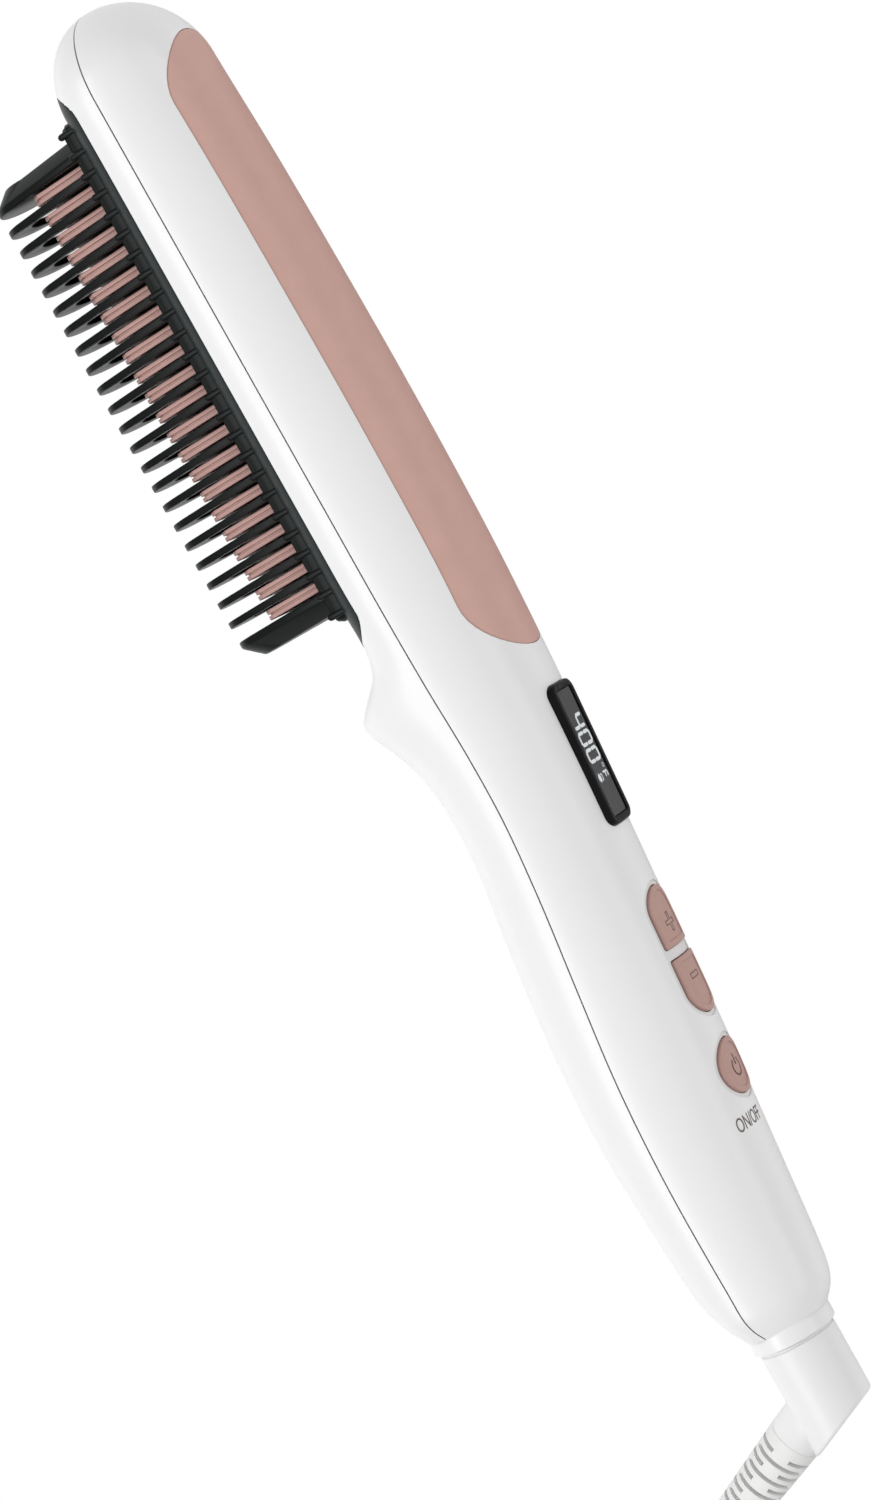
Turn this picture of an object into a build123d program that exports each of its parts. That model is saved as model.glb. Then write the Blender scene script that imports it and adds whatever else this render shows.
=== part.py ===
from build123d import *
import math
import os

# Hair straightening brush, lying on its side.
# Every length is in millimetres. Inside the model a place is given by its distance s from the nose along
# the brush, its height y over the flat parting plane of the head (comb side negative) and its distance z
# from the middle plane. The planes below carry these into the part's frame: +X runs from the nose to the
# cord, +Y towards the back of the head and +Z up, with the widest side of the head on the floor.

# Body
head_half_width = 17.6
nose_radius = 17.6
wall = 2.0
seam_gap = 0.12
neck_s = 289.0
neck_radius = 8.8
neck_y = -6.8
shoulder_s = 285.6
cavity_end_s = 279.0
cavity_start_s = 5.0
cavity_step_s = 132.0
cavity_half_width = 14.2
cavity_floor_y = -6.0
upper_roundness = 2.1
head_roundness = 2.6
grip_roundness = 2.2

# Lines of the body as seen from the side and from above, each as (s, value)
back_line = [(0, 16.4), (19, 16.9), (39, 17.8), (60, 18.3), (90, 18.6), (120, 18.2), (144, 17.2),
             (171, 15.6), (199, 13.4), (229, 11.0), (249, 8.9), (264, 7.4), (274, 6.4), (280, 5.5),
             (283, 4.3), (285.6, 2.2)]
parting_line = [(0, 0), (120, 0), (144, -0.1), (171, -0.2), (189, -1.8), (209, -4.5), (229, -7.0),
                (249, -8.4), (274, -9.1), (282, -9.3), (286, -8.4), (289, -6.8)]
belly_line = [(0, -12.4), (20, -11.8), (60, -11.7), (125, -11.7), (133, -11.9), (138, -13.8),
              (141.5, -17.8), (145, -21.4), (148, -21.2), (153, -18.7), (159, -16.3), (166, -15.1),
              (179, -15.3), (199, -18.4), (219, -20.7), (239, -21.7), (259, -20.8), (270, -20.2),
              (276, -19.2), (281, -17.2), (285.6, -15.0)]
side_line = [(0, 17.6), (60, 17.6), (110, 17.6), (128, 17.5), (144, 16.8), (159, 15.8), (199, 15.0),
             (229, 14.8), (249, 14.3), (264, 13.5), (274, 12.7), (280, 11.9), (283, 10.6), (285.6, 9.0)]
nose_angles = (12, 26, 40, 54, 67, 80)
body_stations = (19.5, 25, 33, 43, 55, 69, 84, 98, 109, 118, 125, 130.5, 135, 139, 142.5, 146, 149.5, 153.5,
                 158.5, 165, 173.5, 184, 196, 209, 223, 236, 248, 258, 266, 272, 276.5, 280, 283, 285.6)

# Inlay panel on the back of the head
panel_start_s = 12.7
panel_end_s = 147.2
panel_half_width = 13.0
panel_thickness = 1.0
panel_gap = 0.1

# Deck: the tilted plane that carries the display and the buttons
deck_s = 199.0
deck_y = 13.3
deck_slope = 4.5

# Display
bezel_s = 170.6
bezel_length = 29.3
bezel_width = 10.6
bezel_corner = 2.2
bezel_proud = 0.7
bezel_depth = 3.4
bezel_rim = 1.5
bezel_chamfer = 0.5
lens_recess = 0.35
lens_thickness = 0.9
display_gap = 0.1

# Buttons
rocker_s = 212.0
rocker_length = 26.3
button_width = 10.4
rocker_bar = 2.0
power_s = 236.6
power_diameter = 11.2
button_gap = 0.18
button_proud = 0.35
button_flange = 0.8
flange_top = 4.2
flange_bottom = 4.8
plunger_radius = 1.5
plunger_bottom = 5.2
halo_width = 1.1
halo_depth = 0.35
rim_width = 1.1

# Circuit board and what is soldered to it
board_start_s = 154.0
board_end_s = 254.0
board_width = 19.0
board_thickness = 1.6
board_depth = 9.9
switch_size = 6.0
switch_height = 3.1
switch_cap_radius = 1.7
switch_cap_height = 0.9
board_screw_places = (190.5, 249.0)
board_screw_radius = 0.9
board_screw_head_radius = 1.9
board_screw_head_height = 1.2
board_screw_length = 6.0
board_boss_radius = 2.6
relay_size = (14.0, 9.0, 8.0)
relay_s = 168.0
capacitor_radius = 4.0
capacitor_length = 15.0
capacitor_s = 208.0
chip_size = (8.0, 8.0, 1.2)
chip_s = 225.0

# Comb
comb_pitch = 4.37
first_rib_s = 19.2
blade_count = 23
blade_thickness = 1.35
blade_root_y = -10.6
blade_root_half_width = 12.3
blade_corner_y = -32.4
blade_corner_half_width = 6.8
blade_tip_y = -37.6
window_half_width = 5.0
window_top_y = -24.5
window_shoulder_y = -29.5
window_bottom_y = -32.6
end_blade_depth = 3.2
end_blade_inset = 3.6
skirt_start_s = 11.8
skirt_end_s = 132.4
skirt_half_width = 16.6
skirt_corner = 6.4
skirt_gap = 0.1
comb_cut_top_y = -1.0
rail_half_width = 12.9
rail_bottom_y = -11.9
rail_top_y = -4.6
rail_overhang = 1.6
rail_wall = 2.2
rail_step = 0.35
rail_step_y = -10.9
rail_step_top_y = -8.4
rail_inner_corner = 1.0
rib_radius = 0.7
rib_sides = 8
rib_top_y = -9.4
rib_bottom_y = -12.7
floor_top_y = -9.4

# Heated fins and the heater on top of them
fin_thickness = 1.7
fin_root_half_width = 8.8
fin_tip_half_width = 7.6
fin_tip_y = -27.0
fin_chamfer = 1.4
fin_gap = 0.25
heater_bar_half_width = 9.6
heater_bar_thickness = 3.4
heater_bar_overhang = 0.75
heater_seat_gap = 0.1
ceramic_length = 82.0
ceramic_half_width = 6.0
ceramic_thickness = 1.3
mica_thickness = 0.5
mica_margin = 1.5
clamp_thickness = 0.6
clamp_half_width = 4.5
clamp_post_radius = 1.9
clamp_post_inset = 4.3
fuse_radius = 1.5
fuse_length = 11.0
fuse_z = 7.8
fuse_corner = 1.35
sensor_size = (5.0, 2.4, 2.2)
sensor_z = -7.8
clamp_screw_radius = 0.95
clamp_screw_head_radius = 1.8
clamp_screw_head_height = 1.1
clamp_screw_length = 4.5
screw_gap = 0.03

# Screws that close the housing
shell_screw_places = (146.0, 266.0)
shell_screw_radius = 1.3
shell_screw_head_radius = 2.4
shell_screw_head_height = 1.6
shell_screw_length = 16.0
boss_radius = 3.2
post_radius = 4.2
counterbore_radius = 2.9
counterbore_floor = 5.0

# Cord swivel
ring_gap = 0.6
elbow_radius = 8.0
elbow_corner_s = 302.0
sleeve_angle = 64.3
sleeve_root_radius = 5.45
bevel_rise = 0.3
stem_radius = 5.0
stem_gap = 0.06
stem_start_s = 271.0
groove_width = 1.4
groove_depth = 0.9
retainer_radius = 6.9
retainer_gap = 0.1
washer_radius = 7.6
washer_thickness = 0.4
slip_ring_radius = 5.7
slip_ring_width = 1.4
slip_ring_places = (272.4, 274.5)
contact_gap = 0.1
contact_width = 2.6
contact_thickness = 1.0

# Strain relief sleeve
sleeve_length = 39.5
sleeve_tip_radius = 3.9
slot_start = 2.5
slot_pitch = 1.92
slot_count = 17
slot_width = 0.9
slot_depth = 1.5
slot_bridge = 2.2
slot_root_bridge = 3.74

# Cord, coil and plug
cord_diameter = 5.6
turn_spacing = 6.1
half_turns_in = 7
half_turns_out = 4
coil_outer_radius = 46.1
layer_rise = 6.1
floor_clearance = 0.05
corner_share = 0.45
coil_samples = 700
lap_length = 40.0
plug_length = 27.0
plug_width = 24.0
plug_height = 16.0
plug_neck = 12.0
plug_neck_width = 9.5
plug_neck_corner = 4.5
pin_width = 6.35
pin_thickness = 1.5
pin_length = 16.5
pin_spacing = 12.7

# Reach of the blocks that cut and bound the pieces
above_all = 30.0
far_out = 40.0
far_over = 60.0
halo_cut_depth = 6.0
cutter_margin = 1.0
neck_overlap = 5.0
least_flat = 0.01

# Places of the frame's origin: middle of the brush's box, on the floor below its widest side
sleeve_lean = math.radians(sleeve_angle)
sleeve_reach = elbow_radius + sleeve_root_radius * math.cos(sleeve_lean)
sleeve_start = bevel_rise + sleeve_reach / math.sin(sleeve_lean)
elbow_reach_s = elbow_corner_s + (sleeve_root_radius + bevel_rise
                                 + elbow_radius * math.cos(sleeve_lean)) / math.sin(sleeve_lean)
frame_s = elbow_reach_s / 2
frame_y = (max(y for _, y in back_line) + blade_tip_y) / 2


def value_at(line, s):
    """Smooth value of a line of the body at the distance s, by cubic pieces through its points."""
    last = len(line) - 1
    if s <= line[0][0]:
        return line[0][1]
    if s >= line[last][0]:
        return line[last][1]
    slopes = []
    for i in range(last + 1):
        before = line[max(i - 1, 0)]
        after = line[min(i + 1, last)]
        slopes.append((after[1] - before[1]) / (after[0] - before[0]))
    i = max(k for k in range(last) if line[k][0] <= s)
    step = line[i + 1][0] - line[i][0]
    t = (s - line[i][0]) / step
    return ((2 * t**3 - 3 * t**2 + 1) * line[i][1] + (t**3 - 2 * t**2 + t) * step * slopes[i]
            + (3 * t**2 - 2 * t**3) * line[i + 1][1] + (t**3 - t**2) * step * slopes[i + 1])


def section_sizes(s, inset):
    """Parting height, half width, height above and depth below the parting line of a cross section."""
    middle = value_at(parting_line, s)
    half = value_at(side_line, s) - inset
    above = value_at(back_line, s) - middle - inset
    below = middle - value_at(belly_line, s) - inset
    if s < nose_radius:
        reach = (nose_radius - s) / (nose_radius - inset)
        share = math.sqrt(1 - reach**2)
        half = half * share
        above = above * share
        below = below * share
    return middle, half, above, below


def belly_roundness(s):
    """The belly is fuller at the head than at the grip."""
    share = min(max((s - 125) / 30, 0), 1)
    return head_roundness + (grip_roundness - head_roundness) * share


def across(s):
    """Plane across the brush, its local x up the back and its local y along z."""
    return Plane(origin=(s - frame_s, -frame_y, head_half_width), x_dir=(0, 1, 0), z_dir=(1, 0, 0))


def along(z):
    """Plane parallel to the middle plane, its local axes s and y."""
    return Plane(origin=(-frame_s, -frame_y, head_half_width + z), x_dir=(1, 0, 0), z_dir=(0, 0, 1))


def level(y):
    """Plane at one height over the parting plane, its local x along s, facing the back."""
    return Plane(origin=(-frame_s, y - frame_y, head_half_width), x_dir=(1, 0, 0), z_dir=(0, 1, 0))


tilt = math.radians(deck_slope)
deck_x_dir = Vector(math.cos(tilt), -math.sin(tilt), 0)
deck_up = Vector(math.sin(tilt), math.cos(tilt), 0)


def deck(s, depth=0.0):
    """Plane of the display and buttons at the distance s, this far below the deck line."""
    run = (s - deck_s) / math.cos(tilt)
    place = Vector(deck_s - frame_s, deck_y - frame_y, head_half_width) + deck_x_dir * run
    return Plane(origin=place - deck_up * depth, x_dir=deck_x_dir, z_dir=deck_up)


def bulge(roundness):
    """Handle length that gives a quarter curve this roundness, 2 being an ellipse."""
    return (8 * 2**(-1 / roundness) - 4) / 3


def quarter(middle, half, height, roundness):
    """Control points of a quarter of a cross section, from its widest point to its middle."""
    reach = bulge(roundness)
    top = middle + height
    return [(middle, half), (middle + height * reach, half), (top, half * reach), (top, 0)]


def hull(inset, end=shoulder_s, start=0.0):
    """The body's outer form, drawn in by an inset, from its nose or a start to an end along the brush."""
    places = []
    if start:
        places.append(start)
    else:
        for angle in nose_angles:
            places.append(inset + (nose_radius - inset) * (1 - math.cos(math.radians(angle))))
    for s in body_stations:
        if start < s < end:
            places.append(s)
    places.append(end)
    with BuildPart() as form:
        for s in places:
            middle, half, above, below = section_sizes(s, inset)
            fullness = belly_roundness(s)
            with BuildSketch(across(s)):
                with BuildLine():
                    Bezier(*quarter(middle, half, above, upper_roundness))
                    Bezier(*reversed(quarter(middle, -half, above, upper_roundness)))
                    Bezier(*quarter(middle, -half, -below, fullness))
                    Bezier(*reversed(quarter(middle, half, -below, fullness)))
                make_face()
        loft()
    return form.part


def slab(line, over, top):
    """Solid between a line of the side view and a level far over or under it, right through the brush."""
    points = [(s, value_at(line, s) + over) for s, _ in line]
    start = points[0]
    end = points[-1]
    with BuildPart() as block:
        with BuildSketch(along(0)):
            with BuildLine():
                Polyline(end, (end[0] + far_out, end[1]), (end[0] + far_out, top), (start[0] - far_out, top),
                         (start[0] - far_out, start[1]), start)
                Spline(*points)
            make_face()
        extrude(amount=far_out, both=True)
    return block.part


def prism(start, end, half, corner, low, high):
    """Upright block with rounded corners between two heights."""
    with BuildPart() as block:
        with BuildSketch(level(low)):
            with Locations(((start + end) / 2, 0)):
                RectangleRounded(end - start, 2 * half, min(corner, half - least_flat))
        extrude(amount=high - low)
    return block.part


def stadium(start, end, half, low, high):
    """Upright block with half-round ends between two heights."""
    with BuildPart() as block:
        with BuildSketch(level(low)):
            with Locations(((start + end) / 2, 0)):
                SlotOverall(end - start, 2 * half)
        extrude(amount=high - low)
    return block.part


def disc(plane, radius, length):
    """Round bar that stands on a plane."""
    with BuildPart() as bar:
        with BuildSketch(plane):
            Circle(radius)
        extrude(amount=length)
    return bar.part


def tube(plane, radius, bore, length):
    """Round tube that stands on a plane."""
    with BuildPart() as pipe:
        with BuildSketch(plane):
            Circle(radius)
            Circle(bore, mode=Mode.SUBTRACT)
        extrude(amount=length)
    return pipe.part


def at(plane, x, y):
    """The plane moved along its own axes."""
    return Plane(origin=plane.from_local_coords((x, y, 0)), x_dir=plane.x_dir, z_dir=plane.z_dir)


def column(kind, grow, top, bottom):
    """Upright piece of a button's outline between two depths under the deck, widened all round by grow."""
    side = {"plus": -1, "minus": 1, "power": 0}[kind]
    place = rocker_s if side else power_s
    with BuildPart() as piece:
        with BuildSketch(deck(place, bottom)):
            if side:
                SlotOverall(rocker_length + 2 * grow, button_width + 2 * grow)
                reach = rocker_length + 2 * grow
                with Locations((side * (reach / 2 + rocker_bar / 2 + button_gap - grow), 0)):
                    Rectangle(reach, reach, mode=Mode.INTERSECT)
            else:
                Circle(power_diameter / 2 + grow)
        extrude(amount=bottom - top)
    return piece.part


def finish(piece, name):
    """Label a finished piece and write it."""
    piece.part.label = name
    export_step(piece.part, "parts/" + name + ".step")


os.makedirs("parts", exist_ok=True)
kinds = ("plus", "minus", "power")

# Forms shared by several pieces
outer = hull(0)
inner = hull(wall, cavity_end_s)
panel_floor = hull(panel_thickness)
pocket_floor = hull(panel_thickness + seam_gap)
raised = hull(-button_proud)
dished = hull(halo_depth)
over_parting = slab(parting_line, 0, far_over)
under_parting = slab(parting_line, -seam_gap, -far_over)
neck = disc(at(across(shoulder_s - neck_overlap), neck_y, 0), neck_radius, neck_s - shoulder_s + neck_overlap)
stem_bore = disc(at(across(cavity_end_s - neck_overlap), neck_y, 0), stem_radius + stem_gap,
                 neck_s - cavity_end_s + neck_overlap + cutter_margin)

# Upper shell
panel_pocket = stadium(panel_start_s - panel_gap, panel_end_s + panel_gap, panel_half_width + panel_gap, 0,
                       above_all) - pocket_floor
bezel_hole = BuildPart()
with bezel_hole:
    with BuildSketch(deck(bezel_s, bezel_depth + wall)):
        RectangleRounded(bezel_length + 2 * display_gap, bezel_width + 2 * display_gap, bezel_corner)
    extrude(amount=above_all)
rocker_halo = BuildPart()
with rocker_halo:
    with BuildSketch(deck(rocker_s, halo_cut_depth)):
        SlotOverall(rocker_length + 2 * halo_width, button_width + 2 * halo_width)
    extrude(amount=above_all)
power_halo = disc(deck(power_s, halo_cut_depth), power_diameter / 2 + halo_width, above_all)
halos = [rocker_halo.part - dished, power_halo - dished]
upper_bosses = []
for s in shell_screw_places:
    top = value_at(parting_line, s)
    upper_bosses.append(tube(at(level(top), s, 0), boss_radius, shell_screw_radius + screw_gap, above_all)
                        & panel_floor)
board_bosses = []
for s in board_screw_places:
    boss = tube(deck(s, board_depth), board_boss_radius, board_screw_radius + screw_gap, above_all)
    board_bosses.append(boss & panel_floor)
with BuildPart() as upper_shell:
    add(outer)
    add(neck)
    add(over_parting, mode=Mode.INTERSECT)
    add(inner, mode=Mode.SUBTRACT)
    add(panel_pocket, mode=Mode.SUBTRACT)
    add(bezel_hole.part, mode=Mode.SUBTRACT)
    add(halos, mode=Mode.SUBTRACT)
    for kind in kinds:
        add(column(kind, button_gap, -above_all, flange_bottom), mode=Mode.SUBTRACT)
    add(upper_bosses)
    add(board_bosses)
    add(stem_bore, mode=Mode.SUBTRACT)
finish(upper_shell, "upper_shell")

# Inlay panel
with BuildPart() as top_panel:
    add(stadium(panel_start_s, panel_end_s, panel_half_width, 0, above_all))
    add(outer, mode=Mode.INTERSECT)
    add(panel_floor, mode=Mode.SUBTRACT)
finish(top_panel, "top_panel")

# Lower shell
block_start_s = first_rib_s - rail_overhang
block_end_s = first_rib_s + (blade_count + 1) * comb_pitch + rail_overhang
skirt_pocket = prism(skirt_start_s - skirt_gap, skirt_end_s + skirt_gap, skirt_half_width + skirt_gap,
                     skirt_corner, -above_all, comb_cut_top_y) - pocket_floor
hole_margin = rail_step + skirt_gap
block_hole = prism(block_start_s - hole_margin, block_end_s + hole_margin, rail_half_width + hole_margin,
                   rail_wall, -above_all, 0)
head_cavity = prism(cavity_start_s, cavity_step_s + wall, cavity_half_width, cavity_half_width,
                    cavity_floor_y, wall)
grip_cavity = hull(wall, cavity_end_s, cavity_step_s)
posts = []
screw_holes = []
for s in shell_screw_places:
    foot = at(level(value_at(parting_line, s) - seam_gap - above_all), s, 0)
    posts.append(disc(foot, post_radius, above_all) & panel_floor)
    screw_holes.append(disc(foot, counterbore_radius, above_all - counterbore_floor))
    screw_holes.append(disc(foot, shell_screw_radius + screw_gap, above_all))
with BuildPart() as lower_shell:
    add(outer)
    add(neck)
    add(under_parting, mode=Mode.INTERSECT)
    add(skirt_pocket, mode=Mode.SUBTRACT)
    add(block_hole, mode=Mode.SUBTRACT)
    add(head_cavity, mode=Mode.SUBTRACT)
    add(grip_cavity, mode=Mode.SUBTRACT)
    add(posts)
    add(screw_holes, mode=Mode.SUBTRACT)
    add(stem_bore, mode=Mode.SUBTRACT)
finish(lower_shell, "lower_shell")

# Screws that close the housing, driven from the comb side
with BuildPart() as shell_screws:
    for s in shell_screw_places:
        seat = value_at(parting_line, s) - seam_gap - counterbore_floor
        with BuildSketch(at(level(seat - shell_screw_head_height), s, 0)):
            Circle(shell_screw_head_radius)
        extrude(amount=shell_screw_head_height)
        with BuildSketch(at(level(seat), s, 0)):
            Circle(shell_screw_radius)
        extrude(amount=shell_screw_length)
finish(shell_screws, "shell_screws")

# Display: bezel, dark window and the module behind it
window_length = bezel_length - 2 * bezel_rim
window_width = bezel_width - 2 * bezel_rim
with BuildPart() as display_bezel:
    with BuildSketch(deck(bezel_s, bezel_depth)):
        RectangleRounded(bezel_length, bezel_width, bezel_corner)
    extrude(amount=bezel_depth + bezel_proud)
    top_edges = display_bezel.faces().sort_by(Axis.Y)[-1].edges()
    chamfer(top_edges, bezel_chamfer)
    with BuildSketch(deck(bezel_s, lens_recess + lens_thickness)):
        RectangleRounded(window_length, window_width, bezel_corner / 2)
    extrude(amount=above_all, mode=Mode.SUBTRACT)
    with BuildSketch(deck(bezel_s, bezel_depth + wall)):
        RectangleRounded(window_length - bezel_rim, window_width - bezel_rim, bezel_corner / 2)
    extrude(amount=above_all, mode=Mode.SUBTRACT)
finish(display_bezel, "display_bezel")

with BuildPart() as display_lens:
    with BuildSketch(deck(bezel_s, lens_recess + lens_thickness)):
        RectangleRounded(window_length - 2 * display_gap, window_width - 2 * display_gap, bezel_corner / 2)
    extrude(amount=lens_thickness)
finish(display_lens, "display_lens")

with BuildPart() as display_module:
    with BuildSketch(deck(bezel_s, board_depth)):
        Rectangle(window_length, bezel_width - 2 * display_gap)
    extrude(amount=board_depth - bezel_depth - display_gap)
finish(display_module, "display_module")

# Buttons, each sliding square to the deck
for kind in kinds:
    raised_body = column(kind, 0, -above_all / 2, flange_bottom)
    face_recess = column(kind, -rim_width, -above_all / 2, flange_top) - outer
    flange = column(kind, button_flange, flange_top, flange_bottom)
    plunger_s = power_s
    if kind != "power":
        side = -1 if kind == "plus" else 1
        plunger_s = rocker_s + side * rocker_length / 4
    with BuildPart() as button:
        add(raised_body)
        add(raised, mode=Mode.INTERSECT)
        add(face_recess, mode=Mode.SUBTRACT)
        add(flange)
        with BuildSketch(deck(plunger_s, plunger_bottom)):
            Circle(plunger_radius)
        extrude(amount=plunger_bottom - flange_bottom)
    finish(button, kind + "_button")

# Circuit board, its switches and its larger components
board_middle_s = (board_start_s + board_end_s) / 2
with BuildPart() as control_board:
    with BuildSketch(deck(board_middle_s, board_depth + board_thickness)):
        Rectangle(board_end_s - board_start_s, board_width)
    extrude(amount=board_thickness)
    for s in board_screw_places:
        with BuildSketch(deck(s, board_depth + board_thickness)):
            Circle(board_screw_radius + screw_gap)
        extrude(amount=board_thickness, mode=Mode.SUBTRACT)
finish(control_board, "control_board")

with BuildPart() as tact_switches:
    for s in (rocker_s - rocker_length / 4, rocker_s + rocker_length / 4, power_s):
        with BuildSketch(deck(s, board_depth)):
            Rectangle(switch_size, switch_size)
        extrude(amount=switch_height)
        with BuildSketch(deck(s, board_depth - switch_height)):
            Circle(switch_cap_radius)
        extrude(amount=switch_cap_height)
finish(tact_switches, "tact_switches")

underside = board_depth + board_thickness
with BuildPart() as board_parts:
    with BuildSketch(deck(relay_s, underside + relay_size[2])):
        Rectangle(relay_size[0], relay_size[1])
    extrude(amount=relay_size[2])
    with BuildSketch(deck(capacitor_s, underside + capacitor_radius)):
        Rectangle(capacitor_length, 2 * capacitor_radius)
    extrude(amount=capacitor_radius)
    with BuildSketch(deck(chip_s, underside + chip_size[2])):
        Rectangle(chip_size[0], chip_size[1])
    extrude(amount=chip_size[2])
finish(board_parts, "board_parts")

with BuildPart() as board_screws:
    for s in board_screw_places:
        with BuildSketch(deck(s, underside + board_screw_head_height)):
            Circle(board_screw_head_radius)
        extrude(amount=board_screw_head_height)
        with BuildSketch(deck(s, underside)):
            Circle(board_screw_radius)
        extrude(amount=board_screw_length)
finish(board_screws, "board_screws")

# Comb skirt: a trim frame flush with the body round the comb's rail
with BuildPart() as comb_skirt:
    add(prism(skirt_start_s, skirt_end_s, skirt_half_width, skirt_corner, -above_all, comb_cut_top_y))
    add(hull(0), mode=Mode.INTERSECT)
    add(hull(panel_thickness), mode=Mode.SUBTRACT)
    add(block_hole, mode=Mode.SUBTRACT)
finish(comb_skirt, "comb_skirt")

# Comb frame: rail with its step and ribs, and the blades
post_places = (block_start_s + clamp_post_inset, block_end_s - clamp_post_inset)
rib_places = [first_rib_s + k * comb_pitch for k in range(blade_count + 2)]
blade_places = rib_places[1:-1]
fin_places = [s + comb_pitch / 2 for s in blade_places[:-1]]
mica_top_y = floor_top_y + heater_seat_gap + heater_bar_thickness + ceramic_thickness + mica_thickness


def blade_outline(inset, tip_rise):
    """Outline of a blade as seen along the brush, drawn in at its sides and tip."""
    root = (blade_root_y, blade_root_half_width - inset)
    corner = (blade_corner_y + tip_rise, blade_corner_half_width - inset)
    tip = (blade_tip_y + tip_rise, 0)
    far_corner = (corner[0], -corner[1])
    far_root = (root[0], -root[1])
    Line(root, corner)
    ThreePointArc(corner, tip, far_corner)
    Line(far_corner, far_root)
    Line(far_root, root)


block_middle_s = (block_start_s + block_end_s) / 2
block_length = block_end_s - block_start_s
with BuildPart() as comb_frame:
    with BuildSketch(level(rail_bottom_y)):
        with Locations((block_middle_s, 0)):
            RectangleRounded(block_length, 2 * rail_half_width, rail_wall)
    extrude(amount=rail_top_y - rail_bottom_y)
    with BuildSketch(level(rail_step_y)):
        with Locations((block_middle_s, 0)):
            RectangleRounded(block_length + 2 * rail_step, 2 * (rail_half_width + rail_step), rail_wall)
    extrude(amount=rail_step_top_y - rail_step_y)
    with BuildSketch(level(floor_top_y)):
        with Locations((block_middle_s, 0)):
            RectangleRounded(block_length - 2 * rail_wall, 2 * (rail_half_width - rail_wall),
                             rail_inner_corner)
    extrude(amount=above_all, mode=Mode.SUBTRACT)
    with BuildSketch(level(floor_top_y)):
        for s in post_places:
            with Locations((s, 0)):
                Circle(clamp_post_radius)
    extrude(amount=mica_top_y - floor_top_y)
    with BuildSketch(level(mica_top_y - clamp_screw_length)):
        for s in post_places:
            with Locations((s, 0)):
                Circle(clamp_screw_radius + screw_gap)
    extrude(amount=above_all, mode=Mode.SUBTRACT)
    with BuildSketch(level(rail_bottom_y - cutter_margin)):
        for s in fin_places:
            with Locations((s, 0)):
                Rectangle(fin_thickness + 2 * fin_gap, 2 * (fin_root_half_width + fin_gap))
    extrude(amount=above_all, mode=Mode.SUBTRACT)
    with BuildSketch(level(rib_bottom_y)):
        for s in rib_places:
            for side in (-1, 1):
                with Locations((s, side * rail_half_width)):
                    RegularPolygon(rib_radius, rib_sides, major_radius=True)
    extrude(amount=rib_top_y - rib_bottom_y)
    for s in blade_places[1:-1]:
        with BuildSketch(across(s - blade_thickness / 2)):
            with BuildLine():
                blade_outline(0, 0)
            make_face()
            with BuildLine():
                shoulder = (window_shoulder_y, window_half_width)
                far_shoulder = (window_shoulder_y, -window_half_width)
                Line((window_top_y, -window_half_width), (window_top_y, window_half_width))
                Line((window_top_y, window_half_width), shoulder)
                ThreePointArc(shoulder, (window_bottom_y, 0), far_shoulder)
                Line(far_shoulder, (window_top_y, -window_half_width))
            make_face(mode=Mode.SUBTRACT)
        extrude(amount=blade_thickness)
    for s, way in ((blade_places[0], -1), (blade_places[-1], 1)):
        with BuildSketch(across(s - way * blade_thickness / 2)):
            with BuildLine():
                blade_outline(0, 0)
            make_face()
        extrude(amount=way * blade_thickness)
        with BuildSketch(across(s + way * blade_thickness / 2)):
            with BuildLine():
                blade_outline(0, 0)
            make_face()
        with BuildSketch(across(s + way * (blade_thickness / 2 + end_blade_depth))):
            with BuildLine():
                blade_outline(end_blade_inset, end_blade_inset)
            make_face()
        loft()
finish(comb_frame, "comb_frame")

# Heated fins on their bar, standing through the frame between the blades
bar_bottom_y = floor_top_y + heater_seat_gap
bar_top_y = bar_bottom_y + heater_bar_thickness
bar_start_s = fin_places[0] - fin_thickness / 2 - heater_bar_overhang
bar_end_s = fin_places[-1] + fin_thickness / 2 + heater_bar_overhang
bar_middle_s = (bar_start_s + bar_end_s) / 2
with BuildPart() as heater_comb:
    with BuildSketch(level(bar_bottom_y)):
        with Locations((bar_middle_s, 0)):
            Rectangle(bar_end_s - bar_start_s, 2 * heater_bar_half_width)
    extrude(amount=heater_bar_thickness)
    for s in fin_places:
        with BuildSketch(across(s - fin_thickness / 2)):
            with BuildLine():
                Polyline((bar_bottom_y, -fin_root_half_width), (fin_tip_y + fin_chamfer, -fin_tip_half_width),
                         (fin_tip_y, -fin_tip_half_width + fin_chamfer),
                         (fin_tip_y, fin_tip_half_width - fin_chamfer),
                         (fin_tip_y + fin_chamfer, fin_tip_half_width), (bar_bottom_y, fin_root_half_width),
                         close=True)
            make_face()
        extrude(amount=fin_thickness)
finish(heater_comb, "heater_comb")

ceramic_top_y = bar_top_y + ceramic_thickness
with BuildPart() as ceramic_heater:
    with BuildSketch(level(bar_top_y)):
        with Locations((bar_middle_s, 0)):
            Rectangle(ceramic_length, 2 * ceramic_half_width)
    extrude(amount=ceramic_thickness)
finish(ceramic_heater, "ceramic_heater")

with BuildPart() as heater_insulator:
    with BuildSketch(level(ceramic_top_y)):
        with Locations((bar_middle_s, 0)):
            Rectangle(ceramic_length + 2 * mica_margin, 2 * ceramic_half_width)
    extrude(amount=mica_thickness)
finish(heater_insulator, "heater_insulator")

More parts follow.
